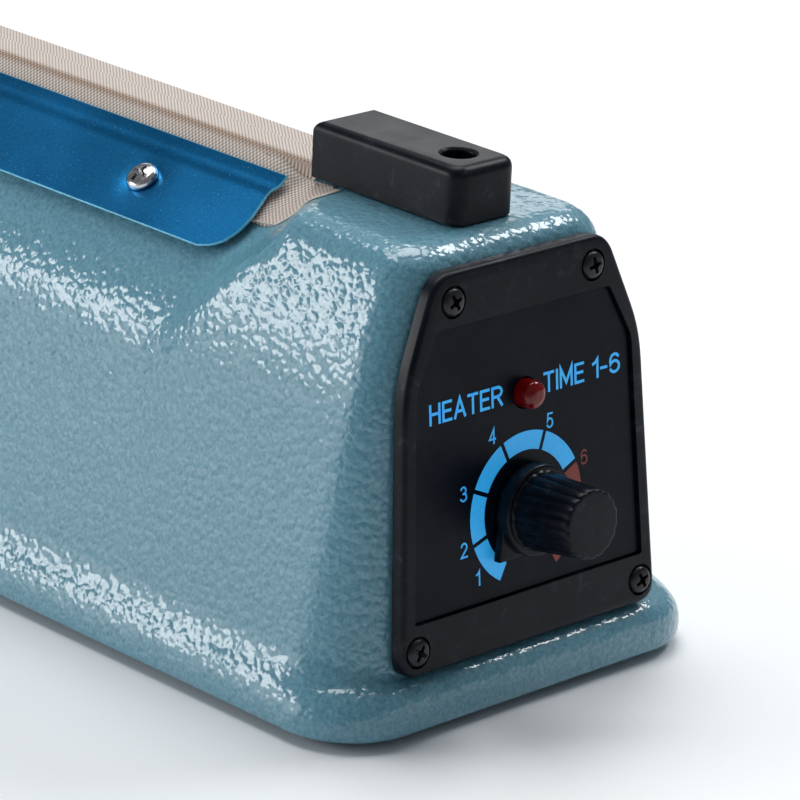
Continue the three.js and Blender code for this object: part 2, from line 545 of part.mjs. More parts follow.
const SWITCH = { half: 5, y0: 11.5, y1: 28, z0: 50, z1: 65.5, bore: 2.3 };
const PLUNGER = { radius: 1.9, foot: 61.5, top: 76.4 };
const switchCase = box([-SWITCH.half, SWITCH.y0, SWITCH.z0], [SWITCH.half, SWITCH.y1, SWITCH.z1]);
const switchBore = rod(SWITCH.bore, 57.5, 70).translate(0, GUIDE.holeY, 0);
add(sealer, 'microswitch', cutBy(switchCase, switchBore), BLACK_PLASTIC);
const plunger = turned([[0, PLUNGER.foot], [PLUNGER.radius, PLUNGER.foot],
  [PLUNGER.radius, PLUNGER.top - 0.7], [PLUNGER.radius - 0.7, PLUNGER.top], [0, PLUNGER.top]], 14);
add(sealer, 'switch_plunger', plunger.translate(0, GUIDE.holeY, 0), SILICONE);
const BRACKET = { x: SWITCH.half + GAP, y0: 18.5, y1: 33, thick: 1.2, top: UNDER_TOP - 0.3 };
const bracket = joined(
  box([BRACKET.x, BRACKET.y0, 46], [BRACKET.x + BRACKET.thick, BRACKET.y1, BRACKET.top]),
  box([BRACKET.x, BRACKET.y0, BRACKET.top - BRACKET.thick], [14, BRACKET.y1, BRACKET.top]),
);
add(sealer, 'switch_bracket', bracket, ZINC_SHEET);

// ---------------------------------------------------------------- heated strip, cloth and clamp plates
const insulation = box([-4.2, SEAL_START - 2, RIDGE_HEIGHT + GAP], [4.2, SEAL_END + 2, RIDGE_HEIGHT + 0.7]);
add(sealer, 'insulating_strip', insulation, PTFE_CLOTH);
const wireZ = RIDGE_HEIGHT + 1.0;
const wire = box([-1.5, FRONT_TERMINAL[0] + 3, wireZ], [1.5, REAR_TERMINAL[1] - 3, wireZ + 0.3]);
add(sealer, 'heating_wire', wire, NICHROME);

function terminal([y0, y1]) {
  const block = box([-TERMINAL_HALF, y0, 67], [TERMINAL_HALF, y1, wireZ + 2.4]);
  const slot = box([-1.9, y0 - 5, wireZ - GAP], [1.9, y1 + 5, wireZ + 0.6]);
  return cutBy(block, slot);
}
add(sealer, 'front_terminal', terminal(FRONT_TERMINAL), BRASS);
add(sealer, 'rear_terminal', terminal(REAR_TERMINAL), BRASS);
function terminalCover([y0, y1]) {
  const shell = box([-6.7, y0 - 1.8, TOP_HEIGHT + 0.6], [6.7, y1 + 1.4, ARM_UNDERSIDE - 0.6]);
  const hollow = box([-4.2, y0 - 0.5, 70], [4.2, y1 + 0.5, wireZ + 2.8]);
  const mouth = box([-5.7, y0 - 9, 70], [5.7, y0, SEAL_TOP + 0.4]);
  return cutBy(shell, hollow, mouth);
}
add(sealer, 'rear_terminal_cover', terminalCover(REAR_TERMINAL), BLACK_PLASTIC);

/** PTFE-glass cloth over the wire and down both slopes, tucked under the clamp plates. */
function cloth() {
  const underside = CLOTH_DEPTH + CLOTH;
  const [nx, nz] = [Math.sin(SLOPE), Math.cos(SLOPE)];
  const under = (t, depth) => [PLATE_TOP[0] + t * nz - nx * depth, PLATE_TOP[1] - t * nx - nz * depth, 0.4];
  const shape = softOutline(bothSides([under(15, underside), under(15, CLOTH_DEPTH), under(1.2, CLOTH_DEPTH),
    [CLOTH_HALF_TOP, SEAL_TOP, 0.5]]));
  const outer = new THREE.ExtrudeGeometry(shape,
    { depth: SEAL_LENGTH - 2 * CLOTH_MARGIN, bevelEnabled: false, curveSegments: 2 });
  const inside = softOutline(bothSides([under(20, 9), under(20, underside), under(1.0, underside),
    [CLOTH_HALF_TOP - 0.35, SEAL_TOP - CLOTH, 0.5]]));
  const hollow = new THREE.ExtrudeGeometry(inside,
    { depth: SEAL_LENGTH + 20, bevelEnabled: false, curveSegments: 2 });
  const lie = (geometry, y) => geometry.rotateX(Math.PI / 2).translate(0, y, 0);
  const hole = (side, y) => rod(PLATE_SCREW.shankRadius + GAP, -9, 9, 10)
    .translate(SCREW_DOWN_SLOPE, y, 0).applyMatrix4(slopeMatrix(side));
  const holes = [-1, 1].flatMap((side) => PLATE_SCREW_Y.map((y) => hole(side, y)));
  return cutBy(lie(outer, SEAL_END - CLOTH_MARGIN), lie(hollow, SEAL_END + 10), ...holes);
}
add(sealer, 'ptfe_cloth', cloth(), PTFE_CLOTH);

/** Sheet-metal clamp plate with a bent upper lip and a cut-back front corner. */
function clampPlate(side) {
  const lip = 3.2;
  const outline = softOutline([[lip, SEAL_START - 0.5, 0.2], [lip, SEAL_END + 1, 0.2],
    [PLATE_WIDTH, SEAL_END - 3, 4], [PLATE_WIDTH, SEAL_START + 4.5, 4]]);
  const sheet = new THREE.ExtrudeGeometry(outline,
    { depth: PLATE_THICK, bevelEnabled: false, curveSegments: 4 });
  sheet.translate(0, 0, -PLATE_THICK);
  const bend = box([0, SEAL_START - 1.5, -PLATE_THICK], [lip + 0.01, SEAL_END + 1, 0]);
  bend.rotateY(THREE.MathUtils.degToRad(4)).translate(0.02, 0, 0.2);
  const holes = PLATE_SCREW_Y.map((y) =>
    rod(PLATE_SCREW.shankRadius + GAP, -5, 5, 12).translate(SCREW_DOWN_SLOPE, y, 0));
  return cutBy(joined(sheet, bend), ...holes).applyMatrix4(slopeMatrix(side));
}
for (const [side, word] of [[-1, 'left'], [1, 'right']]) {
  add(sealer, `clamp_plate_${word}`, clampPlate(side), BLUE_ANODISED);
  PLATE_SCREW_Y.forEach((y, i) => {
    const { headRadius, headHeight, shankRadius, length } = PLATE_SCREW;
    const screw = crossHeadScrew(headRadius, headHeight, shankRadius, length);
    screw.translate(SCREW_DOWN_SLOPE, y, GAP).applyMatrix4(slopeMatrix(side));
    add(sealer, `clamp_screw_${word}_${i + 1}`, screw, STEEL);
  });
}

// ---------------------------------------------------------------- transformer and cord inlet
const CORE = { y0: 236, y1: 302, z0: 4.2, z1: 59, half: 17, leg: 11 };
const LIMB = [CORE.y0 + 2 * CORE.leg, CORE.y1 - 2 * CORE.leg];
const COIL_SPAN = [CORE.y0 + CORE.leg, CORE.y1 - CORE.leg];
const coreCuts = [[COIL_SPAN[0], LIMB[0]], [LIMB[1], COIL_SPAN[1]]].map(([y0, y1]) =>
  box([-40, y0, CORE.z0 + CORE.leg], [40, y1, CORE.z1 - CORE.leg]));
const stack = box([-CORE.half, CORE.y0, CORE.z0], [CORE.half, CORE.y1, CORE.z1]);
add(sealer, 'transformer_core', cutBy(stack, ...coreCuts), CORE_STEEL);
const winding = box([-26.5, COIL_SPAN[0] + GAP, CORE.z0 + CORE.leg + GAP],
  [26.5, COIL_SPAN[1] - GAP, CORE.z1 - CORE.leg - GAP]);
add(sealer, 'transformer_coil', cutBy(winding,
  box([-CORE.half - GAP, LIMB[0] - GAP, 0], [CORE.half + GAP, LIMB[1] + GAP, 90])), COPPER_COIL);
const STRAP = { thick: 1.5, ear: 12 };
const strap = cutBy(
  box([-CORE.half - STRAP.thick, CORE.y0 - STRAP.ear, BOTTOM_PLATE.z1 + GAP],
    [CORE.half + STRAP.thick, CORE.y1 + STRAP.ear, CORE.z1 + STRAP.thick]),
  box([-CORE.half - 9, CORE.y0 - GAP, 0], [CORE.half + 9, CORE.y1 + GAP, CORE.z1 + GAP]),
  box([-40, CORE.y0 - 40, BOTTOM_PLATE.z1 + GAP + STRAP.thick], [40, CORE.y0 - STRAP.thick, 90]),
  box([-40, CORE.y1 + STRAP.thick, BOTTOM_PLATE.z1 + GAP + STRAP.thick], [40, CORE.y1 + 40, 90]),
);
add(sealer, 'transformer_strap', strap, ZINC_SHEET);
const INLET_Y = CASTING_REAR - 8;
const GLAND_BORE = 3.4;
const gland = turned([[GLAND_BORE, -8], [5.6, -8], [5.6, 1.2], [8, 1.2], [8, 3], [5.2, 9],
  [GLAND_BORE, 9], [GLAND_BORE, -8]], 16);
add(sealer, 'cord_gland', gland.rotateX(-Math.PI / 2).translate(0, INLET_Y + 1.4, INLET.z), RUBBER);

// ---------------------------------------------------------------- arm, drawn shut and then swung open
const arm = new THREE.Group();
arm.position.set(0, PIVOT.y, PIVOT.z);
arm.rotation.x = -OPEN_ANGLE;
sealer.add(arm);
const fromPivot = (geometry) => geometry.translate(0, -PIVOT.y, -PIVOT.z);
const ARM_NOSE = 9;
const NOSE_UNDERSIDE = GUIDE.top + 2;
const NOSE_END = GUIDE.rear + 2.5;
const CHANNEL = { half: 8, z0: ARM_UNDERSIDE + 0.2, z1: ARM_UNDERSIDE + 9.2,
  y0: SEAL_START, y1: SEAL_END - 1 };
const HANDLE_SCREW_Y = 46;
const HANDLE_SCREW_SEAT = ARM_TOP + 4.6;
const PIN_SOCKET = NOSE_UNDERSIDE + 6.5;
const TAIL = { radius: 12.5, y1: PIVOT.y + 10 };

function armCasting() {
  const side = [[ARM_NOSE, NOSE_UNDERSIDE, 0], [NOSE_END, NOSE_UNDERSIDE, 0],
    [NOSE_END + 2, ARM_UNDERSIDE, 0], [REAR_TERMINAL[1] + 9, ARM_UNDERSIDE, 0],
    [PIVOT.y + 3, PIVOT.z - TAIL.radius, 6], [TAIL.y1 + 1, PIVOT.z - 4, 5], [TAIL.y1, ARM_TOP - 2, 6],
    [PIVOT.y - 40, ARM_TOP + 2, 30], [60, ARM_TOP - 1, 30], [ARM_NOSE, ARM_TOP - 4, 0]];
  const outer = sideExtrusion(side, ARM_HALF, 3, 3);
  const cuts = [
    box([-CHANNEL.half - GAP, CHANNEL.y0 - GAP, 70], [CHANNEL.half + GAP, CHANNEL.y1 + GAP, ARM_TOP - 6]),
    acrossX(rod(HINGE_BORE, -40, 40, 20), PIVOT.y, PIVOT.z),
    box([-7.5, SPRING_Y - 10, 70], [7.5, SPRING_Y + 12, ARM_UNDERSIDE + 8]),
    rod(1.7, 80, ARM_TOP + 9, 12).translate(0, HANDLE_SCREW_Y, 0),
    rod(2.6, 80, PIN_SOCKET + 0.5, 12).translate(0, GUIDE.holeY, 0),
  ];
  return cutBy(outer, ...cuts);
}
add(arm, 'arm_casting', fromPivot(armCasting()), HAMMERTONE);

const GROOVE = { half: 4.7, z1: CHANNEL.z0 + 6 };
const extrusion = cutBy(box([-CHANNEL.half, CHANNEL.y0, CHANNEL.z0], [CHANNEL.half, CHANNEL.y1, CHANNEL.z1]),
  box([-GROOVE.half, CHANNEL.y0 - 9, 70], [GROOVE.half, CHANNEL.y1 + 9, GROOVE.z1]));
add(arm, 'strip_channel', fromPivot(extrusion), ALUMINIUM);

/** Silicone strip with a raised middle, held in the channel's groove. */
function siliconeStrip() {
  const face = SEAL_TOP + STRIP_CLEARANCE;
  const half = GROOVE.half - GAP;
  const strip = box([-half, CHANNEL.y0, face], [half, CHANNEL.y1, GROOVE.z1 - GAP]);
  const shoulders = [[-9, -half + 1], [half - 1, 9]].map(([x0, x1]) =>
    box([x0, -9, 60], [x1, 999, face + 1]));
  return cutBy(strip, ...shoulders);
}
add(arm, 'silicone_strip', fromPivot(siliconeStrip()), SILICONE);
const ACTUATOR = { radius: 2.2, tipRadius: 1.5, tip: 77 };
const actuator = turned([[0, ACTUATOR.tip], [ACTUATOR.tipRadius, ACTUATOR.tip],
  [ACTUATOR.radius, ACTUATOR.tip + 0.9], [ACTUATOR.radius, PIN_SOCKET], [0, PIN_SOCKET]], 14);
add(arm, 'actuator_pin', fromPivot(actuator.translate(0, GUIDE.holeY, 0)), STEEL);

/** Moulded grip that caps the arm's front end. */
function armHandle() {
  const side = [[-9, ARM_TOP - 6, 6], [ARM_NOSE - 1, NOSE_UNDERSIDE, 0], [60, NOSE_UNDERSIDE, 0],
    [60, ARM_TOP + 4.5, 0], [38, ARM_TOP + 9, 12], [10, ARM_TOP + 12, 12], [-9, ARM_TOP + 9, 8]];
  const grip = sideExtrusion(side, 13.5, 3, 3);
  const under = sideExtrusion([[ARM_NOSE - GAP, 70, 0], [70, 70, 0], [70, ARM_TOP, 0], [60, ARM_TOP - 0.5, 0],
    [ARM_NOSE - GAP, ARM_TOP - 4 + 0.7, 0]], ARM_HALF + GAP + 9);
  const screwSeat = joined(rod(1.7, 100, ARM_TOP + 20, 12), rod(3.6, HANDLE_SCREW_SEAT, ARM_TOP + 20, 14));
  return cutBy(grip, under, screwSeat.translate(0, HANDLE_SCREW_Y, 0));
}
add(arm, 'arm_handle', fromPivot(armHandle()), BLACK_PLASTIC);
const handleScrew = crossHeadScrew(3.2, 2, 1.35, 14).translate(0, HANDLE_SCREW_Y, HANDLE_SCREW_SEAT + GAP);
add(arm, 'handle_screw', fromPivot(handleScrew), STEEL);

// hinge pin with its head and circlip, and the spring that lifts the arm
const pinLength = LUG.outer + 0.6;
const hingePin = turned([[0, -pinLength - 2], [4.6, -pinLength - 2], [5, -pinLength - 1.6], [5, -pinLength],
  [HINGE_PIN_RADIUS, -pinLength], [HINGE_PIN_RADIUS, pinLength + 0.6], [2.3, pinLength + 0.6],
  [2.3, pinLength + 1.8], [HINGE_PIN_RADIUS, pinLength + 1.8], [HINGE_PIN_RADIUS - 0.5, pinLength + 3.2],
  [0, pinLength + 3.2]], 20);
add(sealer, 'hinge_pin', acrossX(hingePin, PIVOT.y, PIVOT.z), STEEL);
const clip = cutBy(tube(4.8, 2.6, pinLength + 0.75, pinLength + 1.65, 18), box([-1.3, 0, 0], [1.3, 9, 40]));
add(sealer, 'hinge_circlip', acrossX(clip, PIVOT.y, PIVOT.z), BLACK_STEEL);

class Helix extends THREE.Curve {
  constructor(radius, turns, height, lean) {
    super();
    Object.assign(this, { radius, turns, height, lean });
  }

  getPoint(t, target = new THREE.Vector3()) {
    const angle = t * this.turns * 2 * Math.PI;
    const [x, y] = [this.radius * Math.cos(angle), this.radius * Math.sin(angle)];
    return target.set(x, y + this.lean * t, this.height * t);
  }
}
const SPRING = { radius: 4.6, wire: 0.8, turns: 5.5 };
const springTop = new THREE.Vector3(0, SPRING_Y - PIVOT.y - 1, ARM_UNDERSIDE + 5.2 - PIVOT.z)
  .applyAxisAngle(new THREE.Vector3(1, 0, 0), -OPEN_ANGLE).add(new THREE.Vector3(0, PIVOT.y, PIVOT.z));
function returnSpring() {
  const section = new THREE.Shape();
  const SIDES = 5;
  for (let i = 0; i < SIDES; i += 1) {
    const angle = (i / SIDES) * 2 * Math.PI;
    if (i) section.lineTo(SPRING.wire * Math.cos(angle), SPRING.wire * Math.sin(angle));
    else section.moveTo(SPRING.wire, 0);
  }
  section.closePath();
  const low = SPRING_SEAT + SPRING.wire + GAP;
  const height = springTop.z - SPRING.wire - 2.4 - low;
  const path = new Helix(SPRING.radius, SPRING.turns, height, springTop.y - SPRING_Y);
  const steps = Math.round(SPRING.turns * 10);
  const coil = new THREE.ExtrudeGeometry(section, { steps, extrudePath: path, bevelEnabled: false });
  return coil.translate(0, SPRING_Y, low);
}
add(sealer, 'return_spring', returnSpring(), STEEL);

// The origin is on the bench, under the middle of the object's box.
const extent = new THREE.Box3().setFromObject(group, true);
group.position.y = -(extent.min.y + extent.max.y) / 2;
group.updateMatrixWorld(true);

export default group;
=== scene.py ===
import json
import math
import random

import bmesh
import bpy
import numpy as np
from mathutils import Matrix, Vector
from mathutils.bvhtree import BVHTree


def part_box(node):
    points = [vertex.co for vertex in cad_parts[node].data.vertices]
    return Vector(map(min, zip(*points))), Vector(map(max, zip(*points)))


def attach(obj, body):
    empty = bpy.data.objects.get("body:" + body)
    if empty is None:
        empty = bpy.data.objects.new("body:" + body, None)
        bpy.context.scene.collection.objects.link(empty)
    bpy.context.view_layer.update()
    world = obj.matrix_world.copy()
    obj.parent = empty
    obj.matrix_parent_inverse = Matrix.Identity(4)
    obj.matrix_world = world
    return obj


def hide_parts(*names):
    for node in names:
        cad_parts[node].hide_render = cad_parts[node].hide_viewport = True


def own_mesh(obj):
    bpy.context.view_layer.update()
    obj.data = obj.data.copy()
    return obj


# Looks of a hand-operated impulse heat sealer. Sizes are in millimetres in the casting's own frame: x across,
# y back from the foot of the timer panel, z up from the casting's rim. PLACE takes them to the row frame.
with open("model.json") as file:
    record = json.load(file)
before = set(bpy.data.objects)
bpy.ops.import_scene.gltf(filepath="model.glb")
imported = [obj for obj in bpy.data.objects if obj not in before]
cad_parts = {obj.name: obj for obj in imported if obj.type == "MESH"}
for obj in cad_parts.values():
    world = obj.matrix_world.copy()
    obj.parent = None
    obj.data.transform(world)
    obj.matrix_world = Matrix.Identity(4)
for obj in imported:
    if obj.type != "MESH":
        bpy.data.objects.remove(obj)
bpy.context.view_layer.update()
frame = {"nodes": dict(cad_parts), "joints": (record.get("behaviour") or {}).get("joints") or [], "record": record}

MM = 0.001
FLANGE_FRONT, FLANGE_HALF = -2.8, 44.3
casting_low, casting_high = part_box("base_casting")
CASTING_REAR = FLANGE_FRONT + (casting_high.y - casting_low.y) / MM
PLACE = (Matrix.Scale(MM, 4)
         @ Matrix.Translation((0, casting_low.y / MM - FLANGE_FRONT, casting_low.z / MM)))

TOP, RIDGE, WALL = 79.4, 79.6, 3.2          # block top, ridge, wall thickness
BLOCK_END, BLOCK_SKEW, BLOCK_FLARE_FROM, BLOCK_FLARE, BLOCK_RUN = 29.9, 0.44, 23.0, 0.7, 13.0
PANEL_LEAN, PANEL_BASE = math.radians(5.84), 18.46
PANEL_BACK, RIM_FRONT = -2.3, 0.7
PANEL = PLACE @ Matrix.Translation((0, 0, PANEL_BASE)) @ Matrix.Rotation(math.pi / 2 - PANEL_LEAN, 4, "X")
DIAL_V, LED_AT = 14.4, (0.3, 34.2)
PANEL_SCREWS = [(-26.4, -4.6), (26.4, -4.6), (-16.3, 53.1), (16.3, 53.1)]
KNOB_TIP, KNOB_REST = 15.6, math.radians(-131)     # its pointer rests at that angle clockwise from the top
GAP = 0.3

GUIDE_HALF, GUIDE_FRONT, GUIDE_REAR, GUIDE_TOP, PIN_Y = 7.1, 14.3, 49.5, 89.7, 21.5
SEAL_START, SEAL_END, SEAL_TOP = 54.0, 354.0, 81.7
PLATE_TOP, PLATE_FOOT, PLATE_THICK = (8.5, 78.7), (23.4, 68.0), 0.5
SLOPE = math.atan2(PLATE_TOP[1] - PLATE_FOOT[1], PLATE_FOOT[0] - PLATE_TOP[0])
PLATE_WIDTH = math.hypot(PLATE_TOP[1] - PLATE_FOOT[1], PLATE_FOOT[0] - PLATE_TOP[0])
PLATE_SCREW_Y, SCREW_DOWN = (82, 204, 326), 9.9

ARM_UNDERSIDE, ARM_TOP, ARM_HALF, ARM_NOSE, NOSE_END = 85.0, 109.0, 12.0, 9.0, 52.0
NOSE_UNDERSIDE, GRIP_SCREW_Y, GRIP_SEAT = GUIDE_TOP + 2, 46.0, ARM_TOP + 4.6
HINGE_RADIUS, EAR_INNER, EAR_OUTER = 3.0, 12.5, 18.5
SPRING_Y, SPRING_SEAT, SPRING_POCKET = 375.0, 72.0, 6.8
FRONT_TERMINAL, REAR_TERMINAL = (38, 46), (358, 366)
INLET_Z = 24.0

hinge = next(joint for joint in frame["joints"] if joint["name"] == "arm_hinge")
PIVOT = Vector(hinge["pos_m"])
PIVOT_MM = PLACE.inverted() @ PIVOT
ARM = (Matrix.Translation(PIVOT) @ Matrix.Rotation(-math.radians(hinge["range_deg"][1]), 4, "X")
       @ Matrix.Translation(-PIVOT) @ PLACE)


def slope_matrix(side):
    """The frame of a clamp plate: x down the slope of the ridge, z out of it."""
    return (PLACE @ Matrix.Diagonal((side, 1, 1, 1)) @ Matrix.Translation((PLATE_TOP[0], 0, PLATE_TOP[1]))
            @ Matrix.Rotation(SLOPE, 4, "Y"))


# ------------------------------------------------------------------ camera, lights and floor
def aim_point(x, y, z):
    return PLACE @ Vector((x, y, z))


def direction(azimuth, elevation):
    """Unit vector from the object towards a viewer: azimuth 0 is in front, -90 on the left."""
    a, e = math.radians(azimuth), math.radians(elevation)
    return Vector((math.sin(a) * math.cos(e), -math.cos(a) * math.cos(e), math.sin(e)))


CAMERA_TURN, CAMERA_RISE, CAMERA_ROLL = -44.493, 19.876, 2.608      # degrees
CAMERA_TARGET, CAMERA_DISTANCE, CAMERA_LENS = (-15, 17.48, 50.41), 0.8192, 221.6
LIGHT_TARGET = (0, 60, 50)


def add_camera():
    back = direction(CAMERA_TURN, CAMERA_RISE)
    roll = math.radians(CAMERA_ROLL)
    right = (-back).cross(Vector((0, 0, 1))).normalized()
    up = right.cross(-back)
    x_axis = right * math.cos(roll) + up * math.sin(roll)
    y_axis = up * math.cos(roll) - right * math.sin(roll)
    data = bpy.data.cameras.new("camera")
    data.lens, data.sensor_width = CAMERA_LENS, 36.0
    camera = bpy.data.objects.new("camera", data)
    bpy.context.scene.collection.objects.link(camera)
    place = Matrix((x_axis, y_axis, back)).transposed().to_4x4()
    place.translation = aim_point(*CAMERA_TARGET) + back * CAMERA_DISTANCE
    camera.matrix_world = place
    bpy.context.scene.camera = camera


def softbox(name, towards, distance, width, height, watts):
    """A rectangular light that faces the front part of the sealer from a direction and distance."""
    data = bpy.data.lights.new(name, "AREA")
    data.shape, data.size, data.size_y, data.energy = "RECTANGLE", width, height, watts
    light = bpy.data.objects.new(name, data)
    bpy.context.scene.collection.objects.link(light)
    towards = Vector(towards).normalized()
    light.location = aim_point(*LIGHT_TARGET) + towards * distance
    light.rotation_euler = towards.to_track_quat("Z", "Y").to_euler()
    light.visible_camera = False


def add_studio():
    world = bpy.data.worlds.new("studio")
    bpy.context.scene.world = world
    world.use_nodes = True
    background = world.node_tree.nodes["Background"]
    background.inputs["Color"].default_value = (0.90, 0.95, 1.0, 1)
    background.inputs["Strength"].default_value = 0.18
    softbox("softbox_left", (-0.715, 0.65, 0.25), 0.95, 0.42, 0.19, 1.95)
    softbox("softbox_rear_left", (-0.85, 0.52, 0.08), 1.3, 0.9, 0.6, 3.5)
    softbox("softbox_right", (0.68, -0.1, 0.72), 1.1, 0.40, 0.26, 4.0)
    softbox("softbox_back", (0.62, 0.67, 0.36), 1.5, 0.9, 0.5, 2.15)
    softbox("softbox_above", (0.15, 0.3, 1.0), 1.3, 1.0, 0.7, 14.0)
    bpy.context.scene.view_settings.view_transform = "Standard"

    bm = bmesh.new()
    bmesh.ops.create_grid(bm, x_segments=8, y_segments=8, size=30.0)
    mesh = bpy.data.meshes.new("floor")
    bm.to_mesh(mesh)
    bm.free()
    floor = bpy.data.objects.new("floor", mesh)
    bpy.context.scene.collection.objects.link(floor)
    mat = Finish("floor_paper", (0.92, 0.94, 0.955), roughness=0.55)
    mat.bump(mat.noise(90, detail=3), 0.05, 0.2 * MM)
    mesh.materials.append(mat.material)


# ------------------------------------------------------------------ finishes
class Finish:
    """A node material: a Principled shader with fixed values, and procedural detail from the methods."""

    def __init__(self, name, colour, **sockets):
        self.material = bpy.data.materials.new(name)
        self.material.use_nodes = True
        self.tree = self.material.node_tree
        self.shader = self.tree.nodes["Principled BSDF"]
        self.set("Base Color", (*colour, 1))
        for socket, value in sockets.items():
            self.set(socket.replace("_", " ").title().replace("Ior", "IOR"), value)
        self.coordinates = self.tree.nodes.new("ShaderNodeTexCoord").outputs["Object"]

    def set(self, socket, value):
        self.shader.inputs[socket].default_value = value

    def link(self, output, socket):
        self.tree.links.new(output, socket)

    def texture(self, kind, values):
        node = self.tree.nodes.new(kind)
        for socket, value in values.items():
            node.inputs[socket].default_value = value
        self.link(self.coordinates, node.inputs["Vector"])
        return node

    def noise(self, scale, detail=2.0, roughness=0.5, distortion=0.0):
        values = {"Scale": scale, "Detail": detail, "Roughness": roughness, "Distortion": distortion}
        return self.texture("ShaderNodeTexNoise", values).outputs["Fac"]

    def cells(self, scale, smoothness, coordinates):
        node = self.tree.nodes.new("ShaderNodeTexVoronoi")
        node.feature = "SMOOTH_F1"              # the smoothness socket is there only in this mode
        node.inputs["Scale"].default_value = scale
        node.inputs["Smoothness"].default_value = smoothness
        self.link(coordinates, node.inputs["Vector"])
        return node.outputs["Distance"]

    def jittered(self, scale, distance):
        """The coordinates, pushed about by up to half a distance."""
        noise = self.texture("ShaderNodeTexNoise", {"Scale": scale, "Detail": 1.0})
        push = self.tree.nodes.new("ShaderNodeVectorMath")
        push.operation = "MULTIPLY_ADD"
        self.link(noise.outputs["Color"], push.inputs[0])
        push.inputs[1].default_value = (distance, distance, distance)
        self.link(self.coordinates, push.inputs[2])
        return push.outputs["Vector"]

    def math(self, operation, a, b=None):
        node = self.tree.nodes.new("ShaderNodeMath")
        node.operation = operation
        for k, value in enumerate((a, b)):
            if value is None:
                continue
            if isinstance(value, (int, float)):
                node.inputs[k].default_value = value
            else:
                self.link(value, node.inputs[k])
        return node.outputs["Value"]

    def ramp(self, factor, stops):
        """Colour along factor; stops are (position, grey or colour)."""
        node = self.tree.nodes.new("ShaderNodeValToRGB")
        elements = node.color_ramp.elements
        while len(elements) < len(stops):
            elements.new(0.5)
        for element, (position, colour) in zip(elements, stops):
            element.position = position
            element.color = (*colour, 1) if isinstance(colour, tuple) else (colour, colour, colour, 1)
        self.link(factor, node.inputs["Fac"])
        return node.outputs["Color"]

    def product(self, a, b):
        node = self.tree.nodes.new("ShaderNodeVectorMath")
        node.operation = "MULTIPLY"
        self.link(a, node.inputs[0])
        self.link(b, node.inputs[1])
        return node.outputs["Vector"]

    def colour(self, output):
        self.link(output, self.shader.inputs["Base Color"])

    def roughness(self, factor, low, high):
        self.link(self.ramp(factor, [(0.3, low), (0.7, high)]), self.shader.inputs["Roughness"])

    def bump(self, height, strength, distance, socket="Normal"):
        """Adds relief to normals, on top of any there; the clear coat has normals of its own."""
        node = self.tree.nodes.new("ShaderNodeBump")
        node.inputs["Strength"].default_value = strength
        node.inputs["Distance"].default_value = distance
        self.link(height, node.inputs["Height"])
        if self.shader.inputs[socket].is_linked:
            self.link(self.shader.inputs[socket].links[0].from_socket, node.inputs["Normal"])
        self.link(node.outputs["Normal"], self.shader.inputs[socket])


def hammertone():
    """Glossy stove enamel that dries in small domed cells with thin valleys between them."""
    f = Finish("hammertone_paint", (0.11, 0.29, 0.38), roughness=0.45, specular_ior_level=0.3,
               coat_weight=0.9, coat_roughness=0.06)
    domes = f.math("SUBTRACT", 1.0, f.cells(660, 0.3, f.jittered(450, 1.4 * MM)))
    grain = f.noise(2300, detail=1.0)
    fleck = f.noise(1500, detail=2.0, roughness=0.6, distortion=0.3)
    f.colour(f.ramp(fleck, [(0.3, (0.075, 0.225, 0.30)), (0.5, (0.112, 0.29, 0.38)),
                            (0.72, (0.15, 0.345, 0.44))]))
    f.bump(domes, 0.5, 0.36 * MM)
    f.bump(domes, 0.45, 0.36 * MM, "Coat Normal")
    f.bump(grain, 0.08, 0.05 * MM, "Coat Normal")
    return f


def moulded(name, colour, roughness, grain=2400, grain_depth=0.03, shine=0.2, wear=0.035):
    """Injection-moulded plastic with a fine spark-eroded grain."""
    f = Finish(name, colour, roughness=roughness, specular_ior_level=shine)
    texture = f.noise(grain, detail=3, roughness=0.6)
    scuffs = f.noise(230, detail=9, roughness=0.75, distortion=0.6)
    f.roughness(f.noise(60, detail=4), roughness - 0.06, roughness + 0.08)
    worn = tuple(c * 1.6 + wear / 18 for c in colour)
    scratched = tuple(c + wear for c in colour)
    f.colour(f.ramp(scuffs, [(0.45, colour), (0.58, worn), (0.70, scratched)]))
    f.bump(texture, 0.35, grain_depth * MM)
    return f


def anodised():
    """Blue-dyed aluminium with a fine sparkle."""
    f = Finish("blue_anodised", (0.01, 0.2, 0.5), metallic=0.95, roughness=0.3)
    speck = f.noise(2600, detail=2, roughness=0.7)
    f.colour(f.ramp(speck, [(0.3, (0.006, 0.16, 0.40)), (0.64, (0.012, 0.21, 0.50)),
                            (0.73, (0.05, 0.38, 0.66)), (0.8, (0.35, 0.75, 0.95))]))
    f.roughness(f.noise(45, detail=4), 0.24, 0.38)
    f.bump(f.noise(900, detail=3), 0.12, 0.06 * MM)
    return f


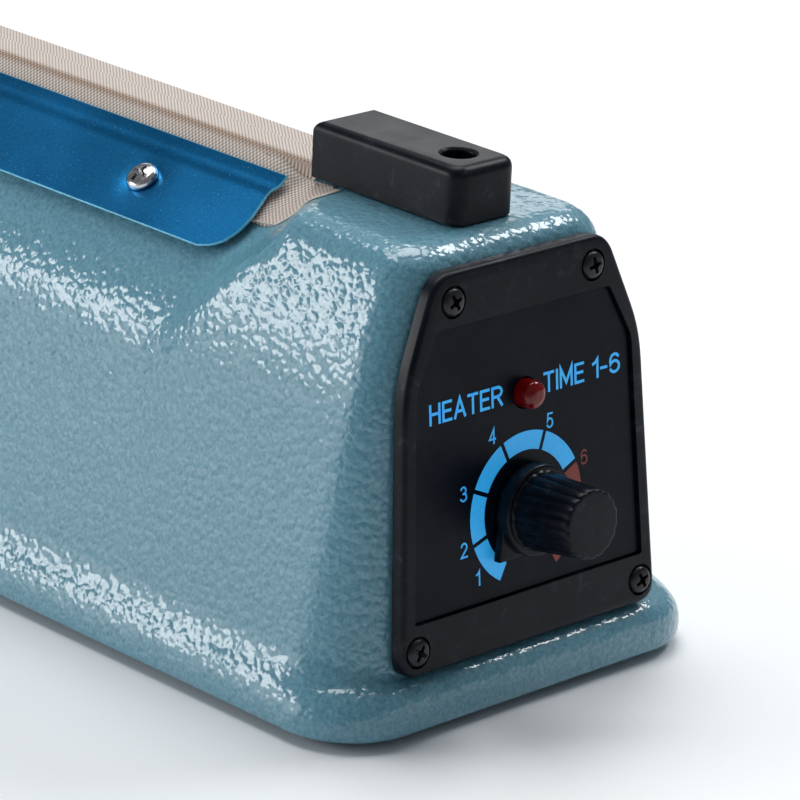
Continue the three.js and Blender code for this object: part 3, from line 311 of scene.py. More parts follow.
def weave():
    """PTFE-coated glass cloth: a plain weave, darker and browner in a narrow band along the fold where it turns
    down the slope.
    """
    f = Finish("ptfe_cloth", (0.55, 0.46, 0.39), roughness=0.5, specular_ior_level=0.5)
    axes = f.tree.nodes.new("ShaderNodeSeparateXYZ")
    f.link(f.coordinates, axes.inputs["Vector"])
    thread_pitch, crease = 0.44 * MM, 5.6 * MM
    from_middle = f.math("ABSOLUTE", axes.outputs["X"])
    across = f.math("MULTIPLY", from_middle, math.pi / thread_pitch / math.cos(SLOPE))
    along = f.math("MULTIPLY", axes.outputs["Y"], math.pi / thread_pitch)
    warp, weft = f.math("SINE", across), f.math("SINE", along)
    crossing = f.math("ADD", f.math("MULTIPLY", f.math("MULTIPLY", warp, weft), 0.5), 0.5)
    threads = f.ramp(crossing, [(0.0, (0.24, 0.17, 0.13)), (0.3, (0.38, 0.30, 0.25)),
                                (0.6, (0.56, 0.48, 0.43)), (1.0, (0.84, 0.80, 0.77))])
    from_crease = f.math("ABSOLUTE", f.math("SUBTRACT", from_middle, crease))
    fold_band = f.ramp(f.math("MULTIPLY", from_crease, 1 / MM),
                     [(0.1, (0.70, 0.60, 0.52)), (0.8, (1.0, 1.0, 1.0))])
    f.colour(f.product(threads, fold_band))
    f.roughness(crossing, 0.55, 0.38)
    f.bump(crossing, 0.4, 0.06 * MM)
    return f


def metal(name, colour, roughness, grain=1200, spread=0.08, metallic=1.0):
    """Plated, machined or rolled metal: fine roughness changes and a faint unevenness."""
    f = Finish(name, colour, metallic=metallic, roughness=roughness)
    cloud = f.noise(grain / 12, detail=4, roughness=0.6)
    darker = tuple(c * 0.86 for c in colour)
    f.colour(f.ramp(cloud, [(0.35, darker), (0.6, colour)]))
    f.roughness(f.noise(grain, detail=3), max(roughness - spread, 0.03), roughness + spread)
    f.bump(f.noise(grain, detail=3), 0.15, 0.03 * MM)
    return f


def soft_rubber(name, colour, roughness):
    f = Finish(name, colour, roughness=roughness, specular_ior_level=0.35)
    dust = f.noise(700, detail=4, roughness=0.65)
    f.colour(f.ramp(dust, [(0.4, colour), (0.85, tuple(c * 1.6 + 0.01 for c in colour))]))
    f.bump(dust, 0.3, 0.05 * MM)
    return f


def printed(name, colour, painted_glow=0.0):
    """Printing ink; any emission makes it glow in its own colour, painted light that brightens it beyond what the
    lamps give.
    """
    f = Finish(name, colour, roughness=0.42, emission_color=(*colour, 1), emission_strength=painted_glow)
    f.colour(f.ramp(f.noise(1800, detail=2), [(0.3, tuple(c * 0.86 for c in colour)), (0.6, colour)]))
    return f


def red_lens():
    f = Finish("red_lens", (0.16, 0.002, 0.004), roughness=0.08, subsurface_weight=0.2,
               subsurface_scale=0.5 * MM, specular_ior_level=0.4)
    f.set("Subsurface Radius", (1.0, 0.1, 0.08))
    f.colour(f.ramp(f.noise(400, detail=1), [(0.3, (0.15, 0.001, 0.002)), (0.7, (0.22, 0.002, 0.003))]))
    return f


def board_green():
    f = Finish("circuit_board", (0.012, 0.10, 0.04), roughness=0.35)
    f.colour(f.ramp(f.noise(260, detail=5), [(0.42, (0.01, 0.08, 0.03)), (0.5, (0.016, 0.13, 0.05)),
                                             (0.7, (0.02, 0.15, 0.06))]))
    return f


def coil_winding():
    f = Finish("copper_coil", (0.36, 0.15, 0.05), roughness=0.35, metallic=0.5)
    turns = f.tree.nodes.new("ShaderNodeTexWave")
    turns.bands_direction = "Z"
    turns.inputs["Scale"].default_value = 520
    f.link(f.coordinates, turns.inputs["Vector"])
    # Dark where one turn meets the next and light on each turn's crown: painted shade and painted highlight across
    # the wire.
    f.colour(f.ramp(turns.outputs["Fac"], [(0.0, (0.14, 0.05, 0.015)), (0.6, (0.42, 0.18, 0.06)),
                                           (1.0, (0.58, 0.28, 0.10))]))
    f.bump(turns.outputs["Fac"], 0.6, 0.2 * MM)
    return f


FINISHES = {
    "hammertone_paint": hammertone(),
    "black_plastic": moulded("black_plastic", (0.0018, 0.0034, 0.0072), 0.36, shine=0.17),
    "panel_label": moulded("panel_label", (0.001, 0.003, 0.008), 0.36, grain=3500, grain_depth=0.01,
                           shine=0.12, wear=0.003),
    "blue_anodised": anodised(),
    "ptfe_cloth": weave(),
    "plated_steel": metal("plated_steel", (0.60, 0.60, 0.61), 0.2),
    "black_steel": metal("black_steel", (0.03, 0.03, 0.034), 0.34, metallic=0.7),
    "zinc_sheet": metal("zinc_sheet", (0.52, 0.54, 0.56), 0.36, grain=500),
    "brass": metal("brass", (0.66, 0.46, 0.17), 0.28),
    "nichrome": metal("nichrome", (0.42, 0.40, 0.38), 0.33),
    "aluminium": metal("aluminium", (0.68, 0.69, 0.70), 0.34),
    "silicone": soft_rubber("silicone", (0.68, 0.66, 0.60), 0.55),
    "rubber": soft_rubber("rubber", (0.012, 0.012, 0.012), 0.7),
    "red_lens": red_lens(),
    "circuit_board": board_green(),
    "core_steel": metal("core_steel", (0.16, 0.165, 0.175), 0.5, grain=700, metallic=0.8),
    "copper_coil": coil_winding(),
    "component_case": moulded("component_case", (0.02, 0.07, 0.24), 0.42, shine=0.5),
}
# The blue ink glows a little: painted light that brightens it, though ink is no lamp.
INK_BLUE = printed("ink_blue", (0.035, 0.46, 1.0), painted_glow=0.27)
INK_RED = printed("ink_red", (0.27, 0.024, 0.014))
# Bright cyan for the clamp plates' rounded edges: a painted highlight along them.
PAINTED_EDGE_HIGHLIGHT = metal("painted_edge_highlight", (0.20, 0.66, 0.90), 0.3, metallic=0.1)
CLOTH_EDGE = printed("cloth_edge", (0.72, 0.66, 0.60))


# ------------------------------------------------------------------ shapes, as bmesh solids in millimetres
def soft_path(corners, steps=6, most=0.49):
    """Points through corners (x, y, ..., setback), each corner softened by a quadratic curve."""
    points = []
    for i, corner in enumerate(corners):
        here, setback = np.array(corner[:-1], float), corner[-1]
        if not setback:
            points.append(here)
            continue
        ends = []
        for other in (corners[i - 1], corners[(i + 1) % len(corners)]):
            along = np.array(other[:-1], float) - here
            ends.append(here + along * min(setback / math.hypot(along[0], along[1]), most))
        for t in np.linspace(0, 1, steps + 1):
            points.append((1 - t) ** 2 * ends[0] + 2 * t * (1 - t) * here + t * t * ends[1])
    return points


def outline(corners, steps=6):
    return [tuple(p) for p in soft_path(corners, steps)]


def both_sides(corners):
    """The whole outline of a shape alike on both sides of x = 0, from its right-hand corners."""
    return list(corners) + [(-x, y, r) for x, y, r in reversed(corners)]


def inset(points, distance):
    """A closed outline moved inwards."""
    p = np.array(points, float)
    area = sum(a[0] * b[1] - b[0] * a[1] for a, b in zip(p, np.roll(p, -1, 0)))
    turn = 1 if area > 0 else -1
    before, after = p - np.roll(p, 1, 0), np.roll(p, -1, 0) - p
    before /= np.linalg.norm(before, axis=1, keepdims=True)
    after /= np.linalg.norm(after, axis=1, keepdims=True)
    n1 = turn * np.stack([-before[:, 1], before[:, 0]], 1)
    n2 = turn * np.stack([-after[:, 1], after[:, 0]], 1)
    m = n1 + n2
    m /= np.linalg.norm(m, axis=1, keepdims=True)
    return p + m * (distance / np.maximum((m * n1).sum(1, keepdims=True), 0.5))


def loft(rings):
    """A closed solid through rings of points that have the same count; its two ends are flat faces."""
    bm = bmesh.new()
    rows = [[bm.verts.new(p) for p in ring] for ring in rings]
    count = len(rows[0])
    for low, high in zip(rows, rows[1:]):
        for i in range(count):
            bm.faces.new((low[i], low[(i + 1) % count], high[(i + 1) % count], high[i]))
    bm.faces.new(rows[0])
    bm.faces.new(reversed(rows[-1]))
    bmesh.ops.recalc_face_normals(bm, faces=bm.faces)
    return bm


def quarter(radius, steps=5):
    """(inset, height) pairs of a rounded edge, from its foot to its crown."""
    angles = np.linspace(0, math.pi / 2, steps + 1)
    return [(radius * (1 - math.cos(a)), radius * math.sin(a)) for a in angles]


def block(points, z0, z1, top=0.0, steps=5):
    """An outline made solid from z0 to z1, its upper edge rounded."""
    levels = [(0, z0)]
    levels += [(i, z1 - top + h) for i, h in quarter(top, steps)] if top else [(0, z1)]
    return loft([[(x, y, z) for x, y in (inset(points, i) if i else points)] for i, z in levels])


def slab(points, half, edge, centre=0.0, steps=5):
    """An outline in y and z made solid across x, from centre - half to centre + half, edges rounded."""
    levels = [(i, centre - half + edge - h) for i, h in reversed(quarter(edge, steps))]
    levels += [(i, centre + half - edge + h) for i, h in quarter(edge, steps)]
    return loft([[(x, y, z) for y, z in (inset(points, i) if i else points)] for i, x in levels])


def turned(profile, segments=48, steps=4):
    """A solid of revolution about z. The profile is (radius, height, setback), from the axis to the axis."""
    points = soft_path(profile, steps)
    angles = [2 * math.pi * k / segments for k in range(segments)]
    bm = bmesh.new()
    rows = []
    for r, z in points:
        if r < 1e-6:
            rows.append([bm.verts.new((0, 0, z))])
        else:
            rows.append([bm.verts.new((r * math.cos(a), r * math.sin(a), z)) for a in angles])
    closed = len(rows[0]) > 1
    for low, high in zip(rows, rows[1:] + rows[:1] if closed else rows[1:]):
        for k in range(segments):
            n = (k + 1) % segments
            face = [low[k % len(low)], low[n % len(low)], high[n % len(high)], high[k % len(high)]]
            face = list(dict.fromkeys(face))
            if len(face) > 2:
                bm.faces.new(face)
    bmesh.ops.recalc_face_normals(bm, faces=bm.faces)
    return bm


def rod(radius, z0, z1, segments=40):
    return turned([(0, z0, 0), (radius, z0, 0), (radius, z1, 0), (0, z1, 0)], segments)


def box(low, high):
    bm = bmesh.new()
    bmesh.ops.create_cube(bm, size=1.0)
    low, high = Vector(low), Vector(high)
    bm.transform(Matrix.Translation((low + high) / 2) @ Matrix.Diagonal((*(high - low), 1)))
    return bm


def moved(bm, matrix=None, at=(0, 0, 0)):
    bm.transform(Matrix.Translation(at) @ (matrix or Matrix.Identity(4)))
    return bm


def rods(radius, z0, z1, places, segments=40):
    """The same upright rod at several places (x, y)."""
    return [moved(rod(radius, z0, z1, segments), at=(x, y, 0)) for x, y in places]


def across_x(bm, y, z):
    return moved(bm, Matrix.Rotation(math.pi / 2, 4, "Y"), (0, y, z))


def temporary(bm):
    bmesh.ops.recalc_face_normals(bm, faces=bm.faces)
    mesh = bpy.data.meshes.new("temporary")
    bm.to_mesh(mesh)
    bm.free()
    obj = bpy.data.objects.new("temporary", mesh)
    bpy.context.scene.collection.objects.link(obj)
    return obj


def combined(bm, tools, operation="DIFFERENCE"):
    """bm with each of the tools cut away, or joined on."""
    objects = [temporary(bm)] + [temporary(tool) for tool in tools]
    for tool in objects[1:]:
        modifier = objects[0].modifiers.new("combine", "BOOLEAN")
        modifier.operation, modifier.solver, modifier.object = operation, "MANIFOLD", tool
    bpy.context.view_layer.update()
    result = bmesh.new()
    evaluated = objects[0].evaluated_get(bpy.context.evaluated_depsgraph_get())
    result.from_mesh(evaluated.to_mesh())
    for obj in objects:
        mesh = obj.data
        bpy.data.objects.remove(obj)
        bpy.data.meshes.remove(mesh)
    if not result.faces:
        raise RuntimeError("a boolean left nothing")
    return result


def join(*shapes):
    """Several loose solids as one mesh."""
    result = bmesh.new()
    for bm in shapes:
        mesh = bpy.data.meshes.new("joining")
        bm.to_mesh(mesh)
        bm.free()
        result.from_mesh(mesh)
        bpy.data.meshes.remove(mesh)
    return result


def soften(obj, width):
    """Rounds the hard edges of a piece, so that they catch the light."""
    bevel = obj.modifiers.new("edge_round", "BEVEL")
    bevel.width, bevel.segments = width * MM, 2
    bevel.limit_method, bevel.angle_limit = "ANGLE", math.radians(35)
    bevel.harden_normals = True
    bevel.use_clamp_overlap = True


def piece(name, bm, slot, at=PLACE, body="base", replaces=(), edge=0.0, finish=None, angle=32):
    """Puts a shape in the scene: placed, riding on its body, with its finish and rounded edges.

    Edges that turn by more than angle, in degrees, are shaded as sharp ones.
    """
    bm.transform(at)
    bmesh.ops.recalc_face_normals(bm, faces=bm.faces)
    mesh = bpy.data.meshes.new(name)
    bm.to_mesh(mesh)
    bm.free()
    obj = bpy.data.objects.new(name, mesh)
    bpy.context.scene.collection.objects.link(obj)
    mesh.materials.append((finish or FINISHES[slot]).material)
    mesh.shade_smooth()
    mesh.set_sharp_from_angle(angle=math.radians(angle))
    if edge:
        soften(obj, edge)
    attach(obj, body)
    if replaces:
        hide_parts(*replaces)
    return obj


# ------------------------------------------------------------------ base casting
def front_face(z):
    return (z - PANEL_BASE) * math.tan(PANEL_LEAN) - PANEL_BACK / math.cos(PANEL_LEAN)


def smoothstep(x):
    x = min(max(x, 0.0), 1.0)
    return x * x * (3 - 2 * x)


def casting_skin(t, floor, steps, corner_steps, lengths):
    """The casting's skin moved inwards by t, as a closed solid down to floor, drawn at some lengths."""
    slope, top, ridge = 0.45 * t, TOP - t, RIDGE - 1.1 * t
    lip = 0.0 if t else 1.8                     # the rim's lower edge is rounded on the outside
    half, corner = FLANGE_HALF - t, 14.5 - t
    soft = lip or 0.01

    def path(*corners):
        return soft_path(corners, steps, most=0.85)

    flange = [(half - lip - 0.02, floor, corner - lip, 0), (half, floor, corner, soft),
              (43.9 - t, 5.2 - t, corner, 3.4 - t), (40.4 - t, 10.6 - slope, 15, 3.2)]
    end = path(*flange, (31.4 - t, 58.5 - slope, 7, 8), (26.95 - t, 68.95 - slope, 7, 3),
               (22.5 - t, top, 7, 5), (9, top, 3, 2), (0, top, 0, 0))
    middle = path(*flange, (31.6 - t, 54.5 - slope, 7, 6), (23.6 - 0.6 * t, 65.9 - 0.8 * t, 7, 5),
                  (7.2 - 0.4 * t, 77.5 - t, 7, 1.2), (4.7 - 0.4 * t, ridge, 3, 0.8), (0, ridge, 0, 0))
    front = path((FLANGE_FRONT + t + lip + 0.02, floor, 0, 0), (FLANGE_FRONT + t, floor, 0, soft),
                 (FLANGE_FRONT + t, 8.2 - t, 0, 4), (front_face(9.1) + t, 9.1 - slope, 0, 0.8),
                 (front_face(58.5) + t, 58.5 - slope, 0, 8), (front_face(69) + t, 69 - slope, 0, 3),
                 (front_face(top) + t, top, 0, 6), (20 + t, top, 0, 2), (30, top, 0, 0))
    rear = path((t + lip + 0.02, floor, 0, 0), (t, floor, 0, soft), (0.4 + t, 10.6 - t, 0, 5.5 - t),
                (6 + t, 12.6 - slope, 0, 1), (8.2 + t, 58.5 - slope, 0, 8), (8.7 + t, 69 - slope, 0, 3),
                (9.2 + t, top, 0, 6), (22 + t, top, 0, 2), (31, top, 0, 0))

    def edge(side, end_y, end_z, sign):
        radius = side[2]
        turn = []
        for share in np.linspace(0, 1, corner_steps + 1):
            a = share * math.pi / 2
            turn.append((side[0] - radius * (1 - math.sin(a)), end_y + sign * radius * (1 - math.cos(a)),
                         end_z + (side[1] - end_z) * smoothstep(share)))
        return [(0, end_y, end_z), (turn[0][0] / 2, end_y, end_z)] + turn

    def along(side, mid, y):
        from_end = min(y, CASTING_REAR - y)
        across = (side[0] + mid[0]) / 2
        start = BLOCK_END + BLOCK_SKEW * across + BLOCK_FLARE * max(across - BLOCK_FLARE_FROM, 0)
        drop = smoothstep((from_end - start) / BLOCK_RUN)
        return (side[0] + (mid[0] - side[0]) * drop, y, side[1] + (mid[1] - side[1]) * drop)

    bm = bmesh.new()
    rows = []
    for side, mid, f, r in zip(end, middle, front, rear):
        right = edge(side, f[0], f[1], 1)
        right += [along(side, mid, y) for y in lengths]
        right += reversed(edge(side, CASTING_REAR - r[0], r[1], -1))
        rows.append([[bm.verts.new((sign * x, y, z)) for x, y, z in right] for sign in (1, -1)])
    for low, high in zip(rows, rows[1:]):
        for hand in (0, 1):
            for i in range(len(low[0]) - 1):
                bm.faces.new((low[hand][i], low[hand][i + 1], high[hand][i + 1], high[hand][i]))
    for i in range(len(rows[0][0]) - 1):
        bm.faces.new((rows[0][1][i], rows[0][1][i + 1], rows[0][0][i + 1], rows[0][0][i]))
    bmesh.ops.remove_doubles(bm, verts=bm.verts, dist=0.001)
    bmesh.ops.dissolve_degenerate(bm, edges=bm.edges, dist=0.0005)
    bmesh.ops.recalc_face_normals(bm, faces=bm.faces)
    return bm


def stations(step, plain_step):
    """Places along the length where the section is drawn: close together where it changes."""
    near = list(np.arange(31, 67.01, step))
    plain = list(np.arange(67 + plain_step, CASTING_REAR - 67 - plain_step / 2, plain_step))
    return near + plain + [CASTING_REAR - y for y in reversed(near)]


def ears():
    y, z = PIVOT_MM.y, PIVOT_MM.z
    shape = outline([(y - 17, TOP - 1.5, 0.5), (y - 11, z + 2, 6), (y - 2, z + 11, 6), (y + 8, z + 9, 6),
                     (y + 10.5, TOP - 9, 0.5)], 8)
    half = (EAR_OUTER - EAR_INNER) / 2
    return [slab(shape, half, 1.3, sign * (EAR_INNER + half)) for sign in (-1, 1)]


FEET = [(-32.5, 22), (32.5, 22), (-32.5, 391), (32.5, 391)]
outer_skin = casting_skin(0.0, 0.0, 7, 12, stations(1.0, 16))
casting_surface = BVHTree.FromBMesh(outer_skin)


def casting_height(x, y):
    """Height of the casting's skin over a place."""
    return casting_surface.ray_cast(Vector((x, y, 200)), Vector((0, 0, -1)))[0].z


def base_casting():
    shell = combined(outer_skin, [casting_skin(WALL, -2.0, 3, 5, stations(3.0, 40))])
    bosses = rods(4.5, 2.7, 14.5, FEET, 24)
    bosses += rods(SPRING_POCKET + 3, SPRING_SEAT - 3, TOP - 1, [(0, SPRING_Y)])
    shell = combined(shell, bosses + ears(), "UNION")
    cuts = rods(2.0, -1, 7.5, FEET, 20) + rods(SPRING_POCKET, SPRING_SEAT, TOP + 2, [(0, SPRING_Y)])
    cuts.append(across_x(rod(HINGE_RADIUS + 0.2, -40, 40), PIVOT_MM.y, PIVOT_MM.z))
    on_panel = PLACE.inverted() @ PANEL
    cuts.append(moved(box((-22, 3, -9), (22, 45, 0)), on_panel))
    for y0, y1 in (FRONT_TERMINAL, REAR_TERMINAL):
        cuts.append(box((-4.2, y0 - 0.8, 66), (4.2, y1 + 0.8, 90)))
    cuts += rods(4.0, 70, 90, [(0, PIN_Y)])
    inlet = Matrix.Rotation(math.pi / 2, 4, "X")
    cuts.append(moved(rod(6.0, -20, 20), inlet, (0, CASTING_REAR - 8, INLET_Z)))
    cuts += [moved(hole, on_panel) for hole in rods(1.5, -12, 0, PANEL_SCREWS, 16)]
    plate_screws = [(SCREW_DOWN, y) for y in PLATE_SCREW_Y]
    for side in (-1, 1):
        on_slope = PLACE.inverted() @ slope_matrix(side)
        cuts += [moved(hole, on_slope) for hole in rods(1.8, -11, 3, plate_screws, 16)]
    return combined(shell, cuts)


# ------------------------------------------------------------------ screws and small turned pieces
def cross_recess(radius, depth, z):
    """The tapered cross that a cross-head driver fits."""
    wide = 0.2 * radius
    wing = [(-radius, -wide), (radius, -wide), (radius, wide), (-radius, wide)]
    levels = ((0.45, 0.8, z - depth), (1.0, 1.0, z + 0.2), (1.05, 1.1, z + 3))
    arms = []
    for turn in (0, math.pi / 2):
        arm = loft([[(x * along, y * across, level) for x, y in wing] for along, across, level in levels])
        arms.append(moved(arm, Matrix.Rotation(turn, 4, "Z")))
    cone = turned([(0, z - depth * 1.1, 0), (radius * 0.2, z - depth, 0), (radius * 0.46, z + 0.2, 0),
                   (radius * 0.5, z + 3, 0), (0, z + 3, 0)], 24)
    return arms + [cone]


def screw(head, height, shank, length, turn=0.0):
    """Pan-head cross screw along +z, its head standing on z = 0."""
    body = turned([(0, -length, 0), (shank * 0.7, -length, 0), (shank, -length + 1.2, 0.4), (shank, 0, 0),
                   (head * 0.96, 0, 0.1), (head, height * 0.25, height * 0.2),
                   (head * 0.86, height * 0.82, head * 0.3), (0, height, 0)], 48, 5)
    recess = cross_recess(head * 0.7, height * 0.95, height)
    return moved(combined(body, recess), Matrix.Rotation(turn, 4, "Z"))


# ------------------------------------------------------------------ timer panel
BEZEL = outline(both_sides([(30.2, -8.8, 4), (27.7, 40, 5), (19.9, 58.2, 4)]), 8)
WINDOW = outline(both_sides([(27.0, 0, 0.8), (25.2, 39.3, 1.5), (20.2, 48.8, 0.8)]), 4)


def panel_holes():
    """Cutters for the timer's shaft and the LED."""
    return rods(3.9, -9, 9, [(0, DIAL_V)]) + rods(2.8, -9, 9, [LED_AT])


def bezel():
    cuts = [block(WINDOW, -1.3, 6)] + panel_holes()
    for place in PANEL_SCREWS:
        cuts += rods(1.6, -9, 9, [place], 24) + rods(2.8, RIM_FRONT - 1.0, 9, [place])
    return combined(block(BEZEL, PANEL_BACK + GAP, RIM_FRONT, top=0.9), cuts)


def label():
    return combined(block(inset(WINDOW, GAP), -1.0, 0.0), panel_holes())


def ring_piece(start, end, gap=(True, True)):
    """Part of the dial ring between two angles clockwise from the top, as an outline on the panel.

    A gap leaves half a division line at that end.
    """
    line, rims = 0.38, []
    for radius in (9.89, 13.14):
        a0 = math.radians(start) + (line / radius if gap[0] else 0)
        a1 = math.radians(end) - (line / radius if gap[1] else 0)
        rims.append([(radius * math.sin(a), DIAL_V + radius * math.cos(a)) for a in np.linspace(a0, a1, 24)])
    return rims[0] + rims[1][::-1]


INK_LOW, INK_HIGH = 0.01, 0.05


def ink(points):
    bm = bmesh.new()
    low = [bm.verts.new((x, y, INK_LOW)) for x, y in points]
    high = [bm.verts.new((x, y, INK_HIGH)) for x, y in points]
    bm.faces.new(low)
    bm.faces.new(reversed(high))
    for i in range(len(points)):
        n = (i + 1) % len(points)
        bm.faces.new((low[i], low[n], high[n], high[i]))
    return bm


def arc(x, y, rx, ry, start, end, steps=10):
    """Points on an ellipse between two angles in degrees, anticlockwise from +x."""
    return [(x + rx * math.cos(a), y + ry * math.sin(a)) for a in np.radians(np.linspace(start, end, steps))]


def glyphs():
    """Plain condensed characters: the width of each, and its strokes in a cell one unit high."""
    bowl = [(0, 1), (0.3, 1)] + arc(0.33, 0.745, 0.25, 0.255, 90, -90) + [(0, 0.49)]
    hook = arc(0.29, 0.31, 0.29, 0.31, 150, -150, 16)
    return {
        "A": (0.62, [[(0, 0), (0.31, 1), (0.62, 0)], [(0.12, 0.31), (0.50, 0.31)]]),
        "E": (0.48, [[(0.48, 1), (0, 1), (0, 0), (0.48, 0)], [(0, 0.52), (0.43, 0.52)]]),
        "H": (0.56, [[(0, 0), (0, 1)], [(0.56, 0), (0.56, 1)], [(0, 0.52), (0.56, 0.52)]]),
        "I": (0.0, [[(0, 0), (0, 1)]]),
        "M": (0.68, [[(0, 0), (0, 1), (0.34, 0.2), (0.68, 1), (0.68, 0)]]),
        "R": (0.58, [bowl, [(0, 1), (0, 0)], [(0.31, 0.49), (0.58, 0)]]),
        "T": (0.54, [[(0, 1), (0.54, 1)], [(0.27, 1), (0.27, 0)]]),
        "-": (0.32, [[(0, 0.42), (0.32, 0.42)]]),
        " ": (0.18, []),
        "1": (0.26, [[(0, 0.76), (0.12, 0.82), (0.26, 1), (0.26, 0)]]),
        "2": (0.54, [arc(0.27, 0.73, 0.26, 0.27, 165, -25) + [(0, 0), (0.54, 0)]]),
        "3": (0.54, [arc(0.25, 0.76, 0.24, 0.24, 155, -90) + arc(0.25, 0.265, 0.28, 0.265, 90, -155)]),
        "4": (0.56, [[(0.42, 0), (0.42, 1), (0, 0.3), (0.56, 0.3)]]),
        "5": (0.54, [[(0.5, 1), (0.1, 1), (0.05, 0.53)] + arc(0.26, 0.325, 0.28, 0.325, 130, -150)]),
        "6": (0.56, [arc(0.3, 0.64, 0.28, 0.36, 40, 180) + hook]),
    }


GLYPHS = glyphs()


def ribbon(line, width):
    """The outline of a stroke of even width along a line of points."""
    p = np.array(line, float)
    run = np.diff(p, axis=0)
    run /= np.linalg.norm(run, axis=1, keepdims=True)
    side = np.stack([-run[:, 1], run[:, 0]], 1)
    mid = side[:-1] + side[1:]
    mid /= (mid ** 2).sum(1, keepdims=True) / 2
    offset = np.vstack([side[:1], mid, side[-1:]]) * width / 2
    return [tuple(q) for q in p + offset] + [tuple(q) for q in (p - offset)[::-1]]


def lettering(text, centre, height, width=None, stroke=0.5):
    """Printed characters as thin solids, centred on a place, and drawn out to a width if one is given."""
    gap, rise = 0.24, height - stroke
    natural = sum(GLYPHS[c][0] for c in text) + gap * (len(text) - 1)
    across = (width - stroke) / natural if width else rise
    x = centre[0] - across * natural / 2
    shapes = []
    for c in text:
        for line in GLYPHS[c][1]:
            points = [(x + across * u, centre[1] + rise * (v - 0.5)) for u, v in line]
            first, last = points[0], points[-1]
            shapes.append(ink(ribbon(points, stroke)))
            for end, other in ((first, points[1]), (last, points[-2])):
                along = np.subtract(end, other) / math.dist(end, other)
                tip = tuple(np.add(end, along * stroke / 2))
                shapes.append(ink(ribbon([end, tip], stroke)))
        x += across * (GLYPHS[c][0] + gap)
    return join(*shapes)


# Each numeral's angle clockwise from the top of the dial, and its distance from the dial's centre.
NUMERALS = {"1": (-130, 15.2), "2": (-106, 15.3), "3": (-69.3, 15.5), "4": (-28.6, 15.8),
            "5": (23.4, 15.0), "6": (67.9, 15.0)}


def dial_print():
    blue = [ink(ring_piece(-150, -108, (False, True)))]
    blue += [ink(ring_piece(a, b)) for a, b in ((-108, -66), (-66, -24), (-24, 21), (21, 65))]
    red = [ink(ring_piece(65, 149, (True, False)))]
    for digit, (angle, radius) in NUMERALS.items():
        a = math.radians(angle)
        place = (radius * math.sin(a), DIAL_V + radius * math.cos(a))
        (red if digit == "6" else blue).append(lettering(digit, place, 2.7, stroke=0.32))
    blue.append(lettering("HEATER", (-13.4, 34.9), 3.6, 16.9))
    blue.append(lettering("TIME 1-6", (13.8, 34.9), 3.6, 18.3))
    piece("dial_print_blue", join(*blue), "panel_label", PANEL, finish=INK_BLUE)
    piece("dial_print_red", join(*red), "panel_label", PANEL, finish=INK_RED)


def timer_knob():
    """Fluted knob: a plain skirt with a pointer, a fluted grip that tapers, and a flat end."""
    flutes, per_flute, depth = 18, 12, 0.25
    foot, tip, skirt, skirt_top = 6.75, 5.95, 7.9, 3.6

    def circle(radius, z, fluted):
        ring = []
        for k in range(flutes * per_flute):
            a = 2 * math.pi * k / (flutes * per_flute)
            r = radius - fluted * depth * (1 - abs(math.sin(a * flutes / 2)) ** 0.8)
            ring.append((r * math.cos(a), r * math.sin(a), z))
        return ring

    rings = [circle(skirt - 0.3, 0.8, 0), circle(skirt, 1.1, 0), circle(skirt, skirt_top - 0.5, 0)]
    rings += [circle(skirt - i, skirt_top - 0.5 + h, 0) for i, h in quarter(0.5, 4)[1:]]
    rings += [circle(foot + 0.25, skirt_top, 0.6), circle(foot, skirt_top + 0.3, 1.0)]
    taper, rise = tip + 0.05 - foot, KNOB_TIP - 0.3 - skirt_top
    for share in np.linspace(0.1, 1.0, 8):
        rings.append(circle(foot + taper * share, skirt_top + rise * share, 1.0))
    rings += [circle(tip - i, KNOB_TIP - 0.3 + h, 1.0) for i, h in quarter(0.28, 3)[1:]]
    rings.append(circle(tip - 0.8, KNOB_TIP, 0.4))
    lug = outline([(0, 11.5, 0.5), (-4.2, 6.2, 0), (4.2, 6.2, 0)], 4)
    pointer = moved(block(lug, 0.8, 2.2, top=0.25, steps=2), Matrix.Rotation(-KNOB_REST, 4, "Z"))
    grip = combined(loft(rings), [pointer], "UNION")
    return combined(grip, [rod(5.9, 0, 4.6), rod(3.3, 3, 12.8)])


# ------------------------------------------------------------------ guide block, cloth and clamp plates
def guide_block():
    half, floor = (GUIDE_REAR - GUIDE_FRONT) / 2, TOP + GAP
    shape = outline(both_sides([(GUIDE_HALF, -half, 3.2), (GUIDE_HALF, half, 0)]), 8)
    body = moved(block(shape, floor, GUIDE_TOP, top=1.9, steps=7), at=(0, (GUIDE_FRONT + GUIDE_REAR) / 2, 0))
    hole = turned([(0, floor - 9, 0), (2.95, floor - 9, 0), (2.95, GUIDE_TOP - 0.45, 0.2),
                   (3.45, GUIDE_TOP + 0.02, 0), (3.45, GUIDE_TOP + 4, 0), (0, GUIDE_TOP + 4, 0)], 48)
    cuts = [moved(hole, at=(0, PIN_Y, 0)), box((-4.7, 37, floor - 9), (4.7, GUIDE_REAR - 1.6, floor + 5)),
            box((-5.8, GUIDE_REAR - 3, floor - 9), (5.8, GUIDE_REAR + 9, floor + 2.8)),
            moved(rod(1.6, floor - 9, floor + 6, 16), at=(0, 31.5, 0))]
    return combined(body, cuts)


CLOTH_UNDER = 0.95                          # depth of the cloth under the plate's outer face
CLOTH_THICK, MOUTH_HALF = 0.22, 5.7         # half width of what enters the guide block's mouth


